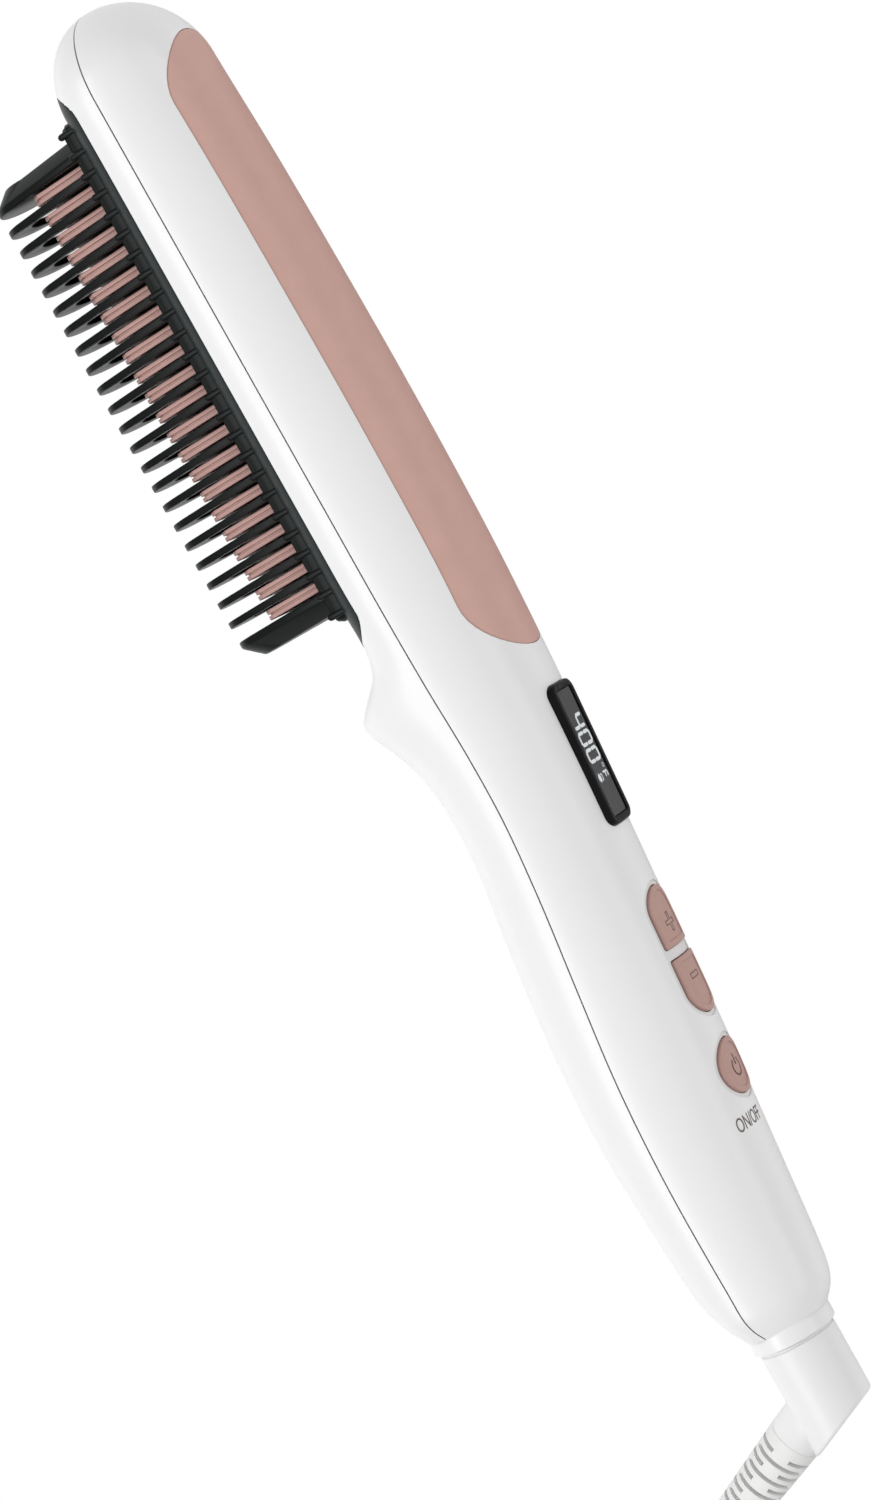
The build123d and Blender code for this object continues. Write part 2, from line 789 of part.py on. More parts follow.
with BuildPart() as heater_clamp:
    with BuildSketch(level(mica_top_y)):
        with Locations(((post_places[0] + post_places[1]) / 2, 0)):
            SlotOverall(post_places[1] - post_places[0] + 2 * clamp_half_width, 2 * clamp_half_width)
        for s in post_places:
            with Locations((s, 0)):
                Circle(clamp_screw_radius + screw_gap, mode=Mode.SUBTRACT)
    extrude(amount=clamp_thickness)
    with BuildSketch(level(mica_top_y)):
        with Locations((block_middle_s, 0)):
            Rectangle(block_length - 2 * rail_wall - 2 * fin_gap, above_all)
    extrude(amount=above_all, mode=Mode.INTERSECT)
finish(heater_clamp, "heater_clamp")

with BuildPart() as comb_screws:
    for s in post_places:
        with BuildSketch(at(level(mica_top_y + clamp_thickness), s, 0)):
            Circle(clamp_screw_head_radius)
        extrude(amount=clamp_screw_head_height)
        with BuildSketch(at(level(mica_top_y + clamp_thickness - clamp_screw_length), s, 0)):
            Circle(clamp_screw_radius)
        extrude(amount=clamp_screw_length)
finish(comb_screws, "comb_screws")

with BuildPart() as thermal_fuse:
    with BuildSketch(level(bar_top_y)):
        with Locations((bar_middle_s, -fuse_z)):
            Rectangle(fuse_length, 2 * fuse_radius)
    extrude(amount=2 * fuse_radius)
    fillet(thermal_fuse.edges().filter_by(Axis.X).sort_by(Axis.Y)[-2:], fuse_corner)
finish(thermal_fuse, "thermal_fuse")

with BuildPart() as thermistor:
    with BuildSketch(level(bar_top_y)):
        with Locations((bar_middle_s, -sensor_z)):
            Rectangle(sensor_size[0], sensor_size[1])
    extrude(amount=sensor_size[2])
finish(thermistor, "thermistor")

# Cord swivel: elbow with its stem, clip, washer, slip rings and the contacts that rub on them
elbow_start_s = neck_s + ring_gap
sleeve_way = Vector(math.cos(sleeve_lean), -math.sin(sleeve_lean), 0)
cut_way = Vector(math.sin(sleeve_lean), math.cos(sleeve_lean), 0)
elbow_corner = Vector(elbow_corner_s - frame_s, neck_y - frame_y, head_half_width)
cut_plane = Plane(origin=elbow_corner + cut_way * (sleeve_root_radius + bevel_rise), z_dir=cut_way)


def sleeve_plane(distance):
    """Plane across the strain relief at a distance from the swivel's axis."""
    return Plane(origin=elbow_corner + sleeve_way * distance, x_dir=(0, 0, 1), z_dir=sleeve_way)


groove_end_s = cavity_end_s - retainer_gap
with BuildPart() as swivel_elbow:
    with BuildSketch(at(across(elbow_start_s), neck_y, 0)):
        Circle(elbow_radius)
    extrude(amount=elbow_corner_s - elbow_start_s + 2 * elbow_radius)
    split(bisect_by=cut_plane, keep=Keep.BOTTOM)
    with BuildSketch(sleeve_plane(0)):
        Circle(sleeve_root_radius)
    extrude(amount=sleeve_start)
    with BuildSketch(at(across(stem_start_s), neck_y, 0)):
        Circle(stem_radius)
    extrude(amount=elbow_start_s - stem_start_s)
    with BuildSketch(at(across(groove_end_s - groove_width), neck_y, 0)):
        Circle(stem_radius + cutter_margin)
        Circle(stem_radius - groove_depth, mode=Mode.SUBTRACT)
    extrude(amount=groove_width, mode=Mode.SUBTRACT)
finish(swivel_elbow, "swivel_elbow")

with BuildPart() as swivel_retainer:
    with BuildSketch(at(across(groove_end_s - groove_width), neck_y, 0)):
        Circle(retainer_radius)
        Circle(stem_radius - groove_depth + screw_gap, mode=Mode.SUBTRACT)
        with Locations((-retainer_radius, 0)):
            Rectangle(2 * retainer_radius, stem_radius, mode=Mode.SUBTRACT)
    extrude(amount=groove_width)
finish(swivel_retainer, "swivel_retainer")

with BuildPart() as swivel_washer:
    with BuildSketch(at(across(elbow_start_s - washer_thickness), neck_y, 0)):
        Circle(washer_radius)
        Circle(stem_radius + screw_gap, mode=Mode.SUBTRACT)
    extrude(amount=washer_thickness)
finish(swivel_washer, "swivel_washer")

with BuildPart() as slip_rings:
    for s in slip_ring_places:
        with BuildSketch(at(across(s - slip_ring_width / 2), neck_y, 0)):
            Circle(slip_ring_radius)
            Circle(stem_radius + screw_gap, mode=Mode.SUBTRACT)
        extrude(amount=slip_ring_width)
finish(slip_rings, "slip_rings")

with BuildPart() as contact_springs:
    for s in slip_ring_places:
        with BuildSketch(at(level(neck_y + slip_ring_radius + contact_gap), s, 0)):
            Rectangle(contact_thickness, contact_width)
        extrude(amount=above_all)
    add(inner, mode=Mode.INTERSECT)
finish(contact_springs, "contact_springs")

# Strain relief: a tapered sleeve with slots that alternate round it
sleeve_end = sleeve_start + sleeve_length
with BuildPart() as strain_relief:
    with BuildSketch(sleeve_plane(sleeve_start)):
        Circle(sleeve_root_radius)
    with BuildSketch(sleeve_plane(sleeve_end)):
        Circle(sleeve_tip_radius)
    loft()
    for k in range(slot_count):
        away = sleeve_start + slot_start + k * slot_pitch
        share = (away - sleeve_start) / sleeve_length
        radius = sleeve_root_radius + (sleeve_tip_radius - sleeve_root_radius) * share
        turned = 90 * (k % 2)
        with BuildSketch(sleeve_plane(away)):
            Circle(radius + cutter_margin)
            Circle(radius - slot_depth, mode=Mode.SUBTRACT)
            Rectangle(4 * radius, slot_bridge, rotation=turned, mode=Mode.SUBTRACT)
            Rectangle(2 * radius, slot_root_bridge, rotation=turned, mode=Mode.SUBTRACT)
        extrude(amount=slot_width, mode=Mode.SUBTRACT)
finish(strain_relief, "strain_relief")

# Cord. The route's points run from the sleeve to the floor, as (s, y, z)
cord_radius = cord_diameter / 2
lay_z = floor_clearance + cord_radius - head_half_width
sleeve_tip_s = elbow_corner_s + sleeve_end * math.cos(sleeve_lean)
sleeve_tip_y = neck_y - sleeve_end * math.sin(sleeve_lean)
coil_s = 372.1
coil_y = -30.5
first_run = 15.0
first_s = sleeve_tip_s + first_run * math.cos(sleeve_lean)
first_y = sleeve_tip_y - first_run * math.sin(sleeve_lean)
cord_route = [(sleeve_tip_s, sleeve_tip_y, 0), (first_s, first_y, 0), (352.6, -84.1, -4), (379.9, -86, -10),
              (403.4, -75.1, -14), (coil_s + coil_outer_radius, -55, lay_z),
              (coil_s + coil_outer_radius, coil_y - cord_diameter, lay_z)]
top_lay_z = lay_z + layer_rise
last_radius = coil_outer_radius - 2 * turn_spacing
plug_z = top_lay_z + cord_radius + floor_clearance + plug_height / 2
tail_route = [(coil_s + last_radius, coil_y + cord_diameter, top_lay_z),
              (coil_s + last_radius, -2.9, -7.6), (395.3, 11.8, -4.6), (378, 17.4, -1.6),
              (360.7, 11.8, 0.8), (350, -2.9, plug_z), (350, -20, plug_z)]


def placed(points):
    """Route points carried into the part's frame."""
    return [Vector(s - frame_s, y - frame_y, z + head_half_width) for s, y, z in points]


def corner_radii(points):
    """Largest arc at each corner of a route that its two runs allow."""
    radii = []
    for before, corner, after in zip(points, points[1:], points[2:]):
        run = min((corner - before).length, (after - corner).length)
        turn = math.radians((corner - before).get_angle(after - corner))
        radii.append(corner_share * run / math.tan(turn / 2))
    return radii


for name, route in (("power_cord", cord_route), ("cord_tail", tail_route)):
    points = placed(route)
    radii = corner_radii(points)
    with BuildPart() as cord:
        with BuildLine() as path:
            FilletPolyline(*points, radius=radii)
        with BuildSketch(Plane(origin=path.wire() @ 0, z_dir=path.wire() % 0)):
            Circle(cord_radius)
        sweep(path=path.wire())
    length = path.wire().length
    print(name, "length", round(length, 1), "radii", [round(radius) for radius in radii],
          "volume share", round(cord.part.volume / (math.pi * cord_radius**2 * length), 4))
    finish(cord, name)

# Coil: a spiral in over the floor, a climb, and a spiral out on top of it
start, here = placed([(coil_s + coil_outer_radius, coil_y - cord_diameter, lay_z),
                      (coil_s + coil_outer_radius, coil_y, lay_z)])
side = 1
radius = coil_outer_radius
with BuildPart() as cord_coil:
    with BuildLine() as path:
        Line(start, here)
        for k in range(half_turns_in):
            there = here - Vector(side * 2 * radius, 0, 0)
            TangentArc(here, there, tangent=(0, side, 0))
            here = there
            side = -side
            radius = radius - turn_spacing / 2
        chord = Vector(-side * 2 * radius, 0, layer_rise)
        middle = here + chord / 2 + Vector(0, side * chord.length / 2, 0)
        TangentArc(here, middle, tangent=(0, side, 0))
        TangentArc(middle, here + chord, tangent=chord)
        here = here + chord
        side = -side
        for k in range(half_turns_out):
            radius = radius + turn_spacing / 2
            there = here - Vector(side * 2 * radius, 0, 0)
            TangentArc(here, there, tangent=(0, side, 0))
            here = there
            side = -side
        Line(here, here + Vector(0, cord_diameter, 0))
    with BuildSketch(Plane(origin=path.wire() @ 0, z_dir=path.wire() % 0)):
        Circle(cord_radius)
    sweep(path=path.wire())
coil_wire = path.wire()
samples = [coil_wire @ (k / coil_samples) for k in range(coil_samples + 1)]
lap = int(lap_length * coil_samples / coil_wire.length) + 1
apart = [(samples[i] - samples[j]).length for i in range(coil_samples + 1) for j in range(i - lap)]
print("cord_coil length", round(coil_wire.length, 1), "least gap", round(min(apart) - cord_diameter, 2),
      "volume share", round(cord_coil.part.volume / (math.pi * cord_radius**2 * coil_wire.length), 4))
finish(cord_coil, "cord_coil")

# Plug lying on the coil at the end of the tail
tail_end, before_end = placed(tail_route)[-1], placed(tail_route)[-2]
plug_way = (tail_end - before_end).normalized()
across_plug = Vector(-plug_way.Y, plug_way.X, 0)


def plug_plane(distance):
    """Plane across the plug at a distance from the tail's end, its local x level."""
    return Plane(origin=tail_end + plug_way * distance, x_dir=across_plug, z_dir=plug_way)


with BuildPart() as plug_body:
    with BuildSketch(plug_plane(0)):
        RectangleRounded(plug_neck_width, plug_neck_width, plug_neck_corner)
    with BuildSketch(plug_plane(plug_neck)):
        RectangleRounded(plug_width, plug_height, plug_height / 4)
    loft()
    with BuildSketch(plug_plane(plug_neck)):
        RectangleRounded(plug_width, plug_height, plug_height / 4)
    extrude(amount=plug_length - plug_neck)
finish(plug_body, "plug_body")

with BuildPart() as plug_pins:
    with BuildSketch(plug_plane(plug_length)):
        with Locations((-pin_spacing / 2, 0), (pin_spacing / 2, 0)):
            Rectangle(pin_thickness, pin_width)
    extrude(amount=pin_length)
finish(plug_pins, "plug_pins")
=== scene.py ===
"""A hair straightening brush lying on its side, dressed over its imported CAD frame."""

import bisect
import logging
import math
from dataclasses import dataclass, field
from enum import Enum
from typing import Callable, Optional, Sequence

import bmesh
import bpy
from mathutils import Matrix, Vector

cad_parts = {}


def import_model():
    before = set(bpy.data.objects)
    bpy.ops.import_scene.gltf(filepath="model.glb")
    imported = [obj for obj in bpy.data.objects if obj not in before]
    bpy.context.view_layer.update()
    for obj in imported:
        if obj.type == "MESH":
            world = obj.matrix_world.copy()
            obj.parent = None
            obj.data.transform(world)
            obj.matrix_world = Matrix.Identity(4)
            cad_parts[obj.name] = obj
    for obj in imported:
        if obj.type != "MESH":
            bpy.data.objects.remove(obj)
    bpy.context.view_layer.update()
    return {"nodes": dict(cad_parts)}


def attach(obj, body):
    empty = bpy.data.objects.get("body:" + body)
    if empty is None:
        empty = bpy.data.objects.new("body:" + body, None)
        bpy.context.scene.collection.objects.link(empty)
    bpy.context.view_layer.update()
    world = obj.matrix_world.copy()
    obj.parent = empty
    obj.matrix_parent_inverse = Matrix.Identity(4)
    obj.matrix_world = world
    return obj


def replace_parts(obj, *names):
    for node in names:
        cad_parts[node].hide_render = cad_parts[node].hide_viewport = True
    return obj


log = logging.getLogger("brush")
Triple = tuple[float, float, float]
Flat = tuple[float, float]
MM = 0.001


class Side(Enum):
    """Which way from the parting plane a surface lies."""

    BACK = 1
    BELLY = -1


class Body(Enum):
    """Names of the rigid bodies that pieces ride on."""

    BRUSH = "brush"
    PLUS = "plus"
    MINUS = "minus"
    POWER = "power"
    CORD_END = "cord_end"


class Kind(Enum):
    """The three push buttons."""

    PLUS = "plus"
    MINUS = "minus"
    POWER = "power"


class Value:
    """A socket's value in a material, added to and multiplied as a plain number."""

    def __init__(self, shader: "Shader", socket: bpy.types.NodeSocket) -> None:
        """Wraps one output socket.

        Args:
            shader: the material's nodes.
            socket: the output that carries the value.
        """
        self.shader = shader
        self.socket = socket

    def _with(self, operation: str, first: object, second: object) -> "Value":
        """Adds one Math node."""
        node = self.shader.node("ShaderNodeMath", {"operation": operation}, {0: first, 1: second})
        return Value(self.shader, node.outputs[0])

    def __add__(self, other: object) -> "Value":
        """Sum."""
        return self._with("ADD", self, other)

    def __mul__(self, other: object) -> "Value":
        """Product."""
        return self._with("MULTIPLY", self, other)

    def clamp(self) -> "Value":
        """The value held between 0 and 1."""
        node = self.shader.node("ShaderNodeClamp", {}, {0: self})
        return Value(self.shader, node.outputs[0])


class Shader:
    """One material's nodes, written as expressions."""

    def __init__(self, name: str) -> None:
        """Starts a material with its main shader.

        Args:
            name: the material's name.
        """
        self.material = bpy.data.materials.new(name)
        self.material.use_nodes = True
        self.tree = self.material.node_tree
        self.main = self.tree.nodes["Principled BSDF"]

    def node(self, kind: str, settings: dict, inputs: dict) -> bpy.types.Node:
        """Adds any node.

        Args:
            kind: the node's type.
            settings: attributes that are set first.
            inputs: socket names or numbers, with a number, colour or Value for each.

        Returns:
            The new node.
        """
        made = self.tree.nodes.new(kind)
        for key, value in settings.items():
            setattr(made, key, value)
        for key, value in inputs.items():
            self.feed(made.inputs[key], value)
        return made

    def feed(self, socket: bpy.types.NodeSocket, value: object) -> None:
        """Sets a socket to a number or colour, or links a Value or output to it."""
        if isinstance(value, Value):
            self.tree.links.new(value.socket, socket)
        elif isinstance(value, bpy.types.NodeSocket):
            self.tree.links.new(value, socket)
        else:
            socket.default_value = value

    def noise(self, scale: float, detail: float = 3.0, stretch: Optional[Sequence[float]] = None) -> Value:
        """Cloudy pattern.

        Args:
            scale: cells per metre.
            detail: number of finer layers.
            stretch: scale of each axis, where they differ.

        Returns:
            The pattern, from 0 to 1.
        """
        spot = self.node("ShaderNodeTexCoord", {}, {}).outputs["Object"]
        if stretch is not None:
            spot = self.node("ShaderNodeMapping", {}, {"Vector": spot, "Scale": stretch}).outputs[0]
        made = self.node("ShaderNodeTexNoise", {}, {"Vector": spot, "Scale": scale, "Detail": detail})
        return Value(self, made.outputs[0])

    def mix(self, factor: object, low: object, high: object) -> bpy.types.NodeSocket:
        """Blends two colours by a factor."""
        made = self.node("ShaderNodeMix", {"data_type": "RGBA"}, {0: factor, 6: low, 7: high})
        return made.outputs[2]

    def bump(self, height: Value, depth: float) -> bpy.types.NodeSocket:
        """Fine relief of the surface, as a normal.

        Args:
            height: pattern from 0 to 1.
            depth: height of the relief in metres.

        Returns:
            The normal's socket.
        """
        made = self.node("ShaderNodeBump", {}, {"Height": height, "Distance": depth, "Strength": 1.0})
        return made.outputs[0]

    def set(self, **values: object) -> None:
        """Feeds sockets of the main shader, their names written with underscores."""
        for key, value in values.items():
            self.feed(self.main.inputs[key.replace("_", " ")], value)


def rgba(colour: Triple) -> tuple[float, float, float, float]:
    """A colour with full cover."""
    return (*colour, 1.0)


@dataclass(frozen=True)
class Finish:
    """A moulded, cast or coated surface with its own mottle, sheen and relief."""

    name: str
    colour: Triple
    shade: Triple
    rough: float
    spread: float = 0.08
    metal: float = 0.0
    coat: float = 0.0
    cells: float = 400.0
    relief: float = 0.00001
    level: float = 0.5
    stretch: Optional[Triple] = None

    def material(self) -> bpy.types.Material:
        """Makes the material, or returns the one made before."""
        name = f"{self.name}_finish"
        made = bpy.data.materials.get(name)
        if made is not None:
            return made
        shader = Shader(name)
        broad = shader.noise(self.cells / 12, 2.0)
        fine = shader.noise(self.cells, 4.0, self.stretch)
        shader.set(
            Base_Color=shader.mix((broad * 0.6 + fine * 0.4).clamp(), rgba(self.shade), rgba(self.colour)),
            Roughness=(fine * self.spread + (self.rough - self.spread / 2)).clamp(),
            Metallic=self.metal,
            Coat_Weight=self.coat,
            Normal=shader.bump(shader.noise(self.cells * 4, 2.0, self.stretch), self.relief),
        )
        shader.main.inputs["Specular IOR Level"].default_value = self.level
        shader.main.inputs["Coat Roughness"].default_value = 0.12
        return shader.material


@dataclass(frozen=True)
class Glow:
    """A lit mark on the display."""

    name: str
    colour: Triple
    strength: float

    def material(self) -> bpy.types.Material:
        """Makes the material."""
        shader = Shader(self.name)
        cloud = shader.noise(900.0)
        shader.set(
            Base_Color=shader.mix(cloud, rgba(self.colour), rgba(tuple(0.9 * c for c in self.colour))),
            Emission_Color=rgba(self.colour),
            Roughness=0.4,
        )
        shader.main.inputs["Emission Strength"].default_value = self.strength
        return shader.material


WHITE_SHELL = Finish("white_shell", (0.87, 0.87, 0.87), (0.85, 0.85, 0.85), 0.34, 0.05, coat=0.15,
                     relief=0.000003)
ROSE_PANEL = Finish("rose_panel", (0.66, 0.41, 0.355), (0.57, 0.345, 0.30), 0.44, 0.1, metal=0.15,
                    cells=2600.0, relief=0.000008, level=0.4)
# Pale grey for the faces that cuts leave in the back shell: painted shade in the dish round each button, the
# display's hole and the button wells.
RECESS_SHADE_GREY = Finish("recess_shade_grey", (0.80, 0.79, 0.785), (0.76, 0.75, 0.745), 0.4, 0.06)
ELBOW_WHITE = Finish("elbow_white", (0.85, 0.85, 0.85), (0.82, 0.82, 0.82), 0.42, 0.08, relief=0.000006)
# Near black of the ribbon in the seam: painted shadow in the gap between the shells.
SEAM_SHADOW = Finish("seam_shadow", (0.06, 0.06, 0.06), (0.04, 0.04, 0.04), 0.8, 0.1)
ROSE_BUTTON = Finish("rose_button", (0.53, 0.335, 0.295), (0.47, 0.29, 0.255), 0.42, 0.08, cells=1800.0,
                     relief=0.000004, level=0.3)
ROSE_FIN = Finish("rose_fin", (0.47, 0.28, 0.25), (0.38, 0.22, 0.195), 0.4, 0.12, metal=0.2, cells=900.0,
                  relief=0.00001, level=0.35, stretch=(1.0, 0.12, 1.0))
BEZEL_BLACK = Finish("bezel_black", (0.005, 0.005, 0.006), (0.008, 0.008, 0.009), 0.3, 0.06, level=0.1)
COMB_BLACK = Finish("comb_black", (0.003, 0.004, 0.004), (0.005, 0.007, 0.007), 0.3, 0.08, cells=700.0,
                    relief=0.000006, level=0.12)
SKIRT_BLACK = Finish("skirt_black", (0.010, 0.015, 0.015), (0.014, 0.020, 0.020), 0.36, 0.1, cells=700.0,
                     relief=0.000006, level=0.3)
WINDOW_DARK = Finish("window_dark", (0.006, 0.006, 0.007), (0.009, 0.009, 0.010), 0.09, 0.03, coat=0.3,
                     relief=0.000001)
CORD_PVC = Finish("cord_pvc", (0.82, 0.82, 0.81), (0.78, 0.78, 0.77), 0.5, 0.1, cells=600.0, relief=0.00001)
BLACK_PART = Finish("black_part", (0.03, 0.03, 0.03), (0.05, 0.05, 0.05), 0.5, 0.1)
BOARD = Finish("board_green", (0.03, 0.17, 0.07), (0.02, 0.12, 0.05), 0.35, 0.1)
STEEL = Finish("screw_steel", (0.62, 0.62, 0.61), (0.52, 0.52, 0.51), 0.32, 0.12, metal=1.0)
BRASS = Finish("contact_brass", (0.72, 0.55, 0.27), (0.62, 0.46, 0.21), 0.3, 0.12, metal=1.0)
PIN_METAL = Finish("pin_metal", (0.70, 0.67, 0.60), (0.62, 0.59, 0.52), 0.25, 0.1, metal=1.0)
CERAMIC = Finish("ceramic", (0.80, 0.78, 0.72), (0.74, 0.72, 0.66), 0.6, 0.1)
MICA = Finish("mica", (0.60, 0.53, 0.38), (0.50, 0.44, 0.30), 0.4, 0.2, cells=900.0)
MARK_BROWN = Finish("mark_brown", (0.16, 0.12, 0.11), (0.13, 0.10, 0.09), 0.45)
MARK_ROSE = Finish("mark_rose", (0.14, 0.068, 0.055), (0.11, 0.052, 0.042), 0.45)
DIGIT_GLOW = Glow("digit_glow", (0.72, 0.76, 0.78), 0.15)

NODE_FINISHES = {
    "display_module": BLACK_PART, "control_board": BOARD, "board_parts": BLACK_PART,
    "tact_switches": BLACK_PART, "board_screws": STEEL, "ceramic_heater": CERAMIC,
    "heater_insulator": MICA, "heater_clamp": STEEL, "comb_screws": STEEL, "thermal_fuse": CERAMIC,
    "thermistor": BLACK_PART, "shell_screws": STEEL,
    "swivel_washer": ELBOW_WHITE, "swivel_retainer": STEEL, "slip_rings": BRASS,
    "contact_springs": BRASS, "strain_relief": CORD_PVC, "plug_body": CORD_PVC, "plug_pins": PIN_METAL,
}


@dataclass
class Form:
    """The brush's outer form in millimetres: s along it, y over the parting plane, z from its middle."""

    half_width: float = 17.6
    nose: float = 17.6
    upper_roundness: float = 2.1
    head_roundness: float = 2.6
    grip_roundness: float = 2.2
    frame_s: float = 156.1157
    frame_y: float = -9.5
    neck_y: float = -6.8
    deck_s: float = 199.0
    deck_y: float = 13.3
    deck_slope: float = math.radians(4.5)
    blend_s: float = 125.0
    blend_run: float = 30.0
    back_line: Sequence[Flat] = ((0, 16.4), (19, 16.9), (39, 17.8), (60, 18.3), (90, 18.6), (120, 18.2),
                                 (144, 17.2), (171, 15.6), (199, 13.4), (229, 11.0), (249, 8.9), (264, 7.4),
                                 (274, 6.4), (280, 5.5), (283, 4.3), (285.6, 2.2))
    parting_line: Sequence[Flat] = ((0, 0), (120, 0), (144, -0.1), (171, -0.2), (189, -1.8), (209, -4.5),
                                    (229, -7.0), (249, -8.4), (274, -9.1), (282, -9.3), (286, -8.4),
                                    (289, -6.8))
    belly_line: Sequence[Flat] = ((0, -12.4), (20, -11.8), (60, -11.7), (125, -11.7), (133, -11.9),
                                  (138, -13.8), (141.5, -17.8), (145, -21.4), (148, -21.2), (153, -18.7),
                                  (159, -16.3), (166, -15.1), (179, -15.3), (199, -18.4), (219, -20.7),
                                  (239, -21.7), (259, -20.8), (270, -20.2), (276, -19.2), (281, -17.2),
                                  (285.6, -15.0))
    side_line: Sequence[Flat] = ((0, 17.6), (60, 17.6), (110, 17.6), (128, 17.5), (144, 16.8), (159, 15.8),
                                 (199, 15.0), (229, 14.8), (249, 14.3), (264, 13.5), (274, 12.7), (280, 11.9),
                                 (283, 10.6), (285.6, 9.0))
    known: dict = field(default_factory=dict)

    def point(self, s: float, y: float, z: float) -> Vector:
        """A place on the brush, in the row frame and in metres."""
        return Vector((s - self.frame_s, y - self.frame_y, z + self.half_width)) * MM

    def line(self, points: Sequence[Flat], s: float) -> float:
        """Smooth value of a line at a distance along the brush.

        Args:
            points: the line's points, as (s, value).
            s: where it is read.

        Returns:
            The value there.
        """
        last = len(points) - 1
        if s <= points[0][0]:
            return points[0][1]
        if s >= points[last][0]:
            return points[last][1]
        i = bisect.bisect_right(points, (s, math.inf), 0, last) - 1
        sides = [(points[max(k - 1, 0)], points[min(k + 1, last)]) for k in (i, i + 1)]
        slopes = [(after[1] - before[1]) / (after[0] - before[0]) for before, after in sides]
        step = points[i + 1][0] - points[i][0]
        t = (s - points[i][0]) / step
        return ((2 * t**3 - 3 * t**2 + 1) * points[i][1] + (t**3 - 2 * t**2 + t) * step * slopes[0]
                + (3 * t**2 - 2 * t**3) * points[i + 1][1] + (t**3 - t**2) * step * slopes[1])

    def section(self, s: float, inset: float) -> tuple[float, float, float, float]:
        """Middle height, half width, height above and depth below of a cross section drawn in by an inset."""
        if (s, inset) in self.known:
            return self.known[s, inset]
        middle = self.line(self.parting_line, s)
        half = self.line(self.side_line, s) - inset
        above = self.line(self.back_line, s) - middle - inset
        below = middle - self.line(self.belly_line, s) - inset
        if s < self.nose:
            reach = min((self.nose - s) / (self.nose - inset), 1.0)
            share = math.sqrt(max(1 - reach**2, 0.0))
            half, above, below = half * share, above * share, below * share
        self.known[s, inset] = (middle, half, above, below)
        return middle, half, above, below

    def quarter(self, s: float, t: float, inset: float, side: Side) -> Flat:
        """Point of a quarter of a section.

        Args:
            s: distance along the brush.
            t: 0 at the widest point and 1 at the middle of the back or belly.
            inset: how far the form is drawn in.
            side: back or belly.

        Returns:
            Its height y and its distance z from the middle plane.
        """
        middle, half, above, below = self.section(s, inset)
        share = min(max((s - self.blend_s) / self.blend_run, 0), 1)
        round_ = self.upper_roundness
        height = above
        if side is Side.BELLY:
            round_ = self.head_roundness + (self.grip_roundness - self.head_roundness) * share
            height = -below
        reach = (8 * 2 ** (-1 / round_) - 4) / 3
        u = 1 - t
        y = middle + height * (3 * u * u * t * reach + 3 * u * t * t + t**3)
        z = half * (u**3 + 3 * u * u * t + 3 * u * t * t * reach)
        return y, z

    def height(self, s: float, z: float, inset: float, side: Side) -> float:
        """Height of the form over a place, found by halving."""
        low, high = 0.0, 1.0
        for _ in range(26):
            t = (low + high) / 2
            if self.quarter(s, t, inset, side)[1] > abs(z):
                low = t
            else:
                high = t
        return self.quarter(s, low, inset, side)[0]

    def deck(self, s: float, z: float, depth: float) -> Vector:
        """A place on the tilted plane of the display and buttons, this far below it."""
        y = self.deck_y - (s - self.deck_s) * math.tan(self.deck_slope) - depth * math.cos(self.deck_slope)
        return self.point(s - depth * math.sin(self.deck_slope), y, z)


FORM = Form()
BEZEL = (170.6, 29.3, 10.6, 2.2)  # middle along the brush, length, width, corner


def around(radius: float, degrees: float) -> Flat:
    """A point of a circle about the origin."""
    turn = math.radians(degrees)
    return radius * math.cos(turn), radius * math.sin(turn)


def circle(count: int, radius: float) -> list[Flat]:
    """A circle's points about the origin, once round."""
    return [around(radius, 360 / count * i) for i in range(count)]


def rounded(length: float, width: float, corner: float, steps: int) -> list[Flat]:
    """Outline of a rectangle with rounded corners about the origin, as (s, z)."""
    loop = []
    for k, (way_s, way_z) in enumerate(((1, 1), (-1, 1), (-1, -1), (1, -1))):
        for i in range(steps + 1):
            s, z = around(corner, 90 * (k + i / steps))
            loop.append((way_s * (length / 2 - corner) + s, way_z * (width / 2 - corner) + z))
    return loop


def added(name: str, data: bpy.types.ID) -> bpy.types.Object:
    """Makes an object of its data and puts it in the scene."""
    made = bpy.data.objects.new(name, data)
    bpy.context.scene.collection.objects.link(made)
    return made


def smooth(mesh: bpy.types.Mesh, angle: float) -> None:
    """Shades a mesh smooth, but for edges that turn by more than an angle in degrees."""
    mesh.polygons.foreach_set("use_smooth", [True] * len(mesh.polygons))
    mesh.set_sharp_from_angle(angle=math.radians(angle))


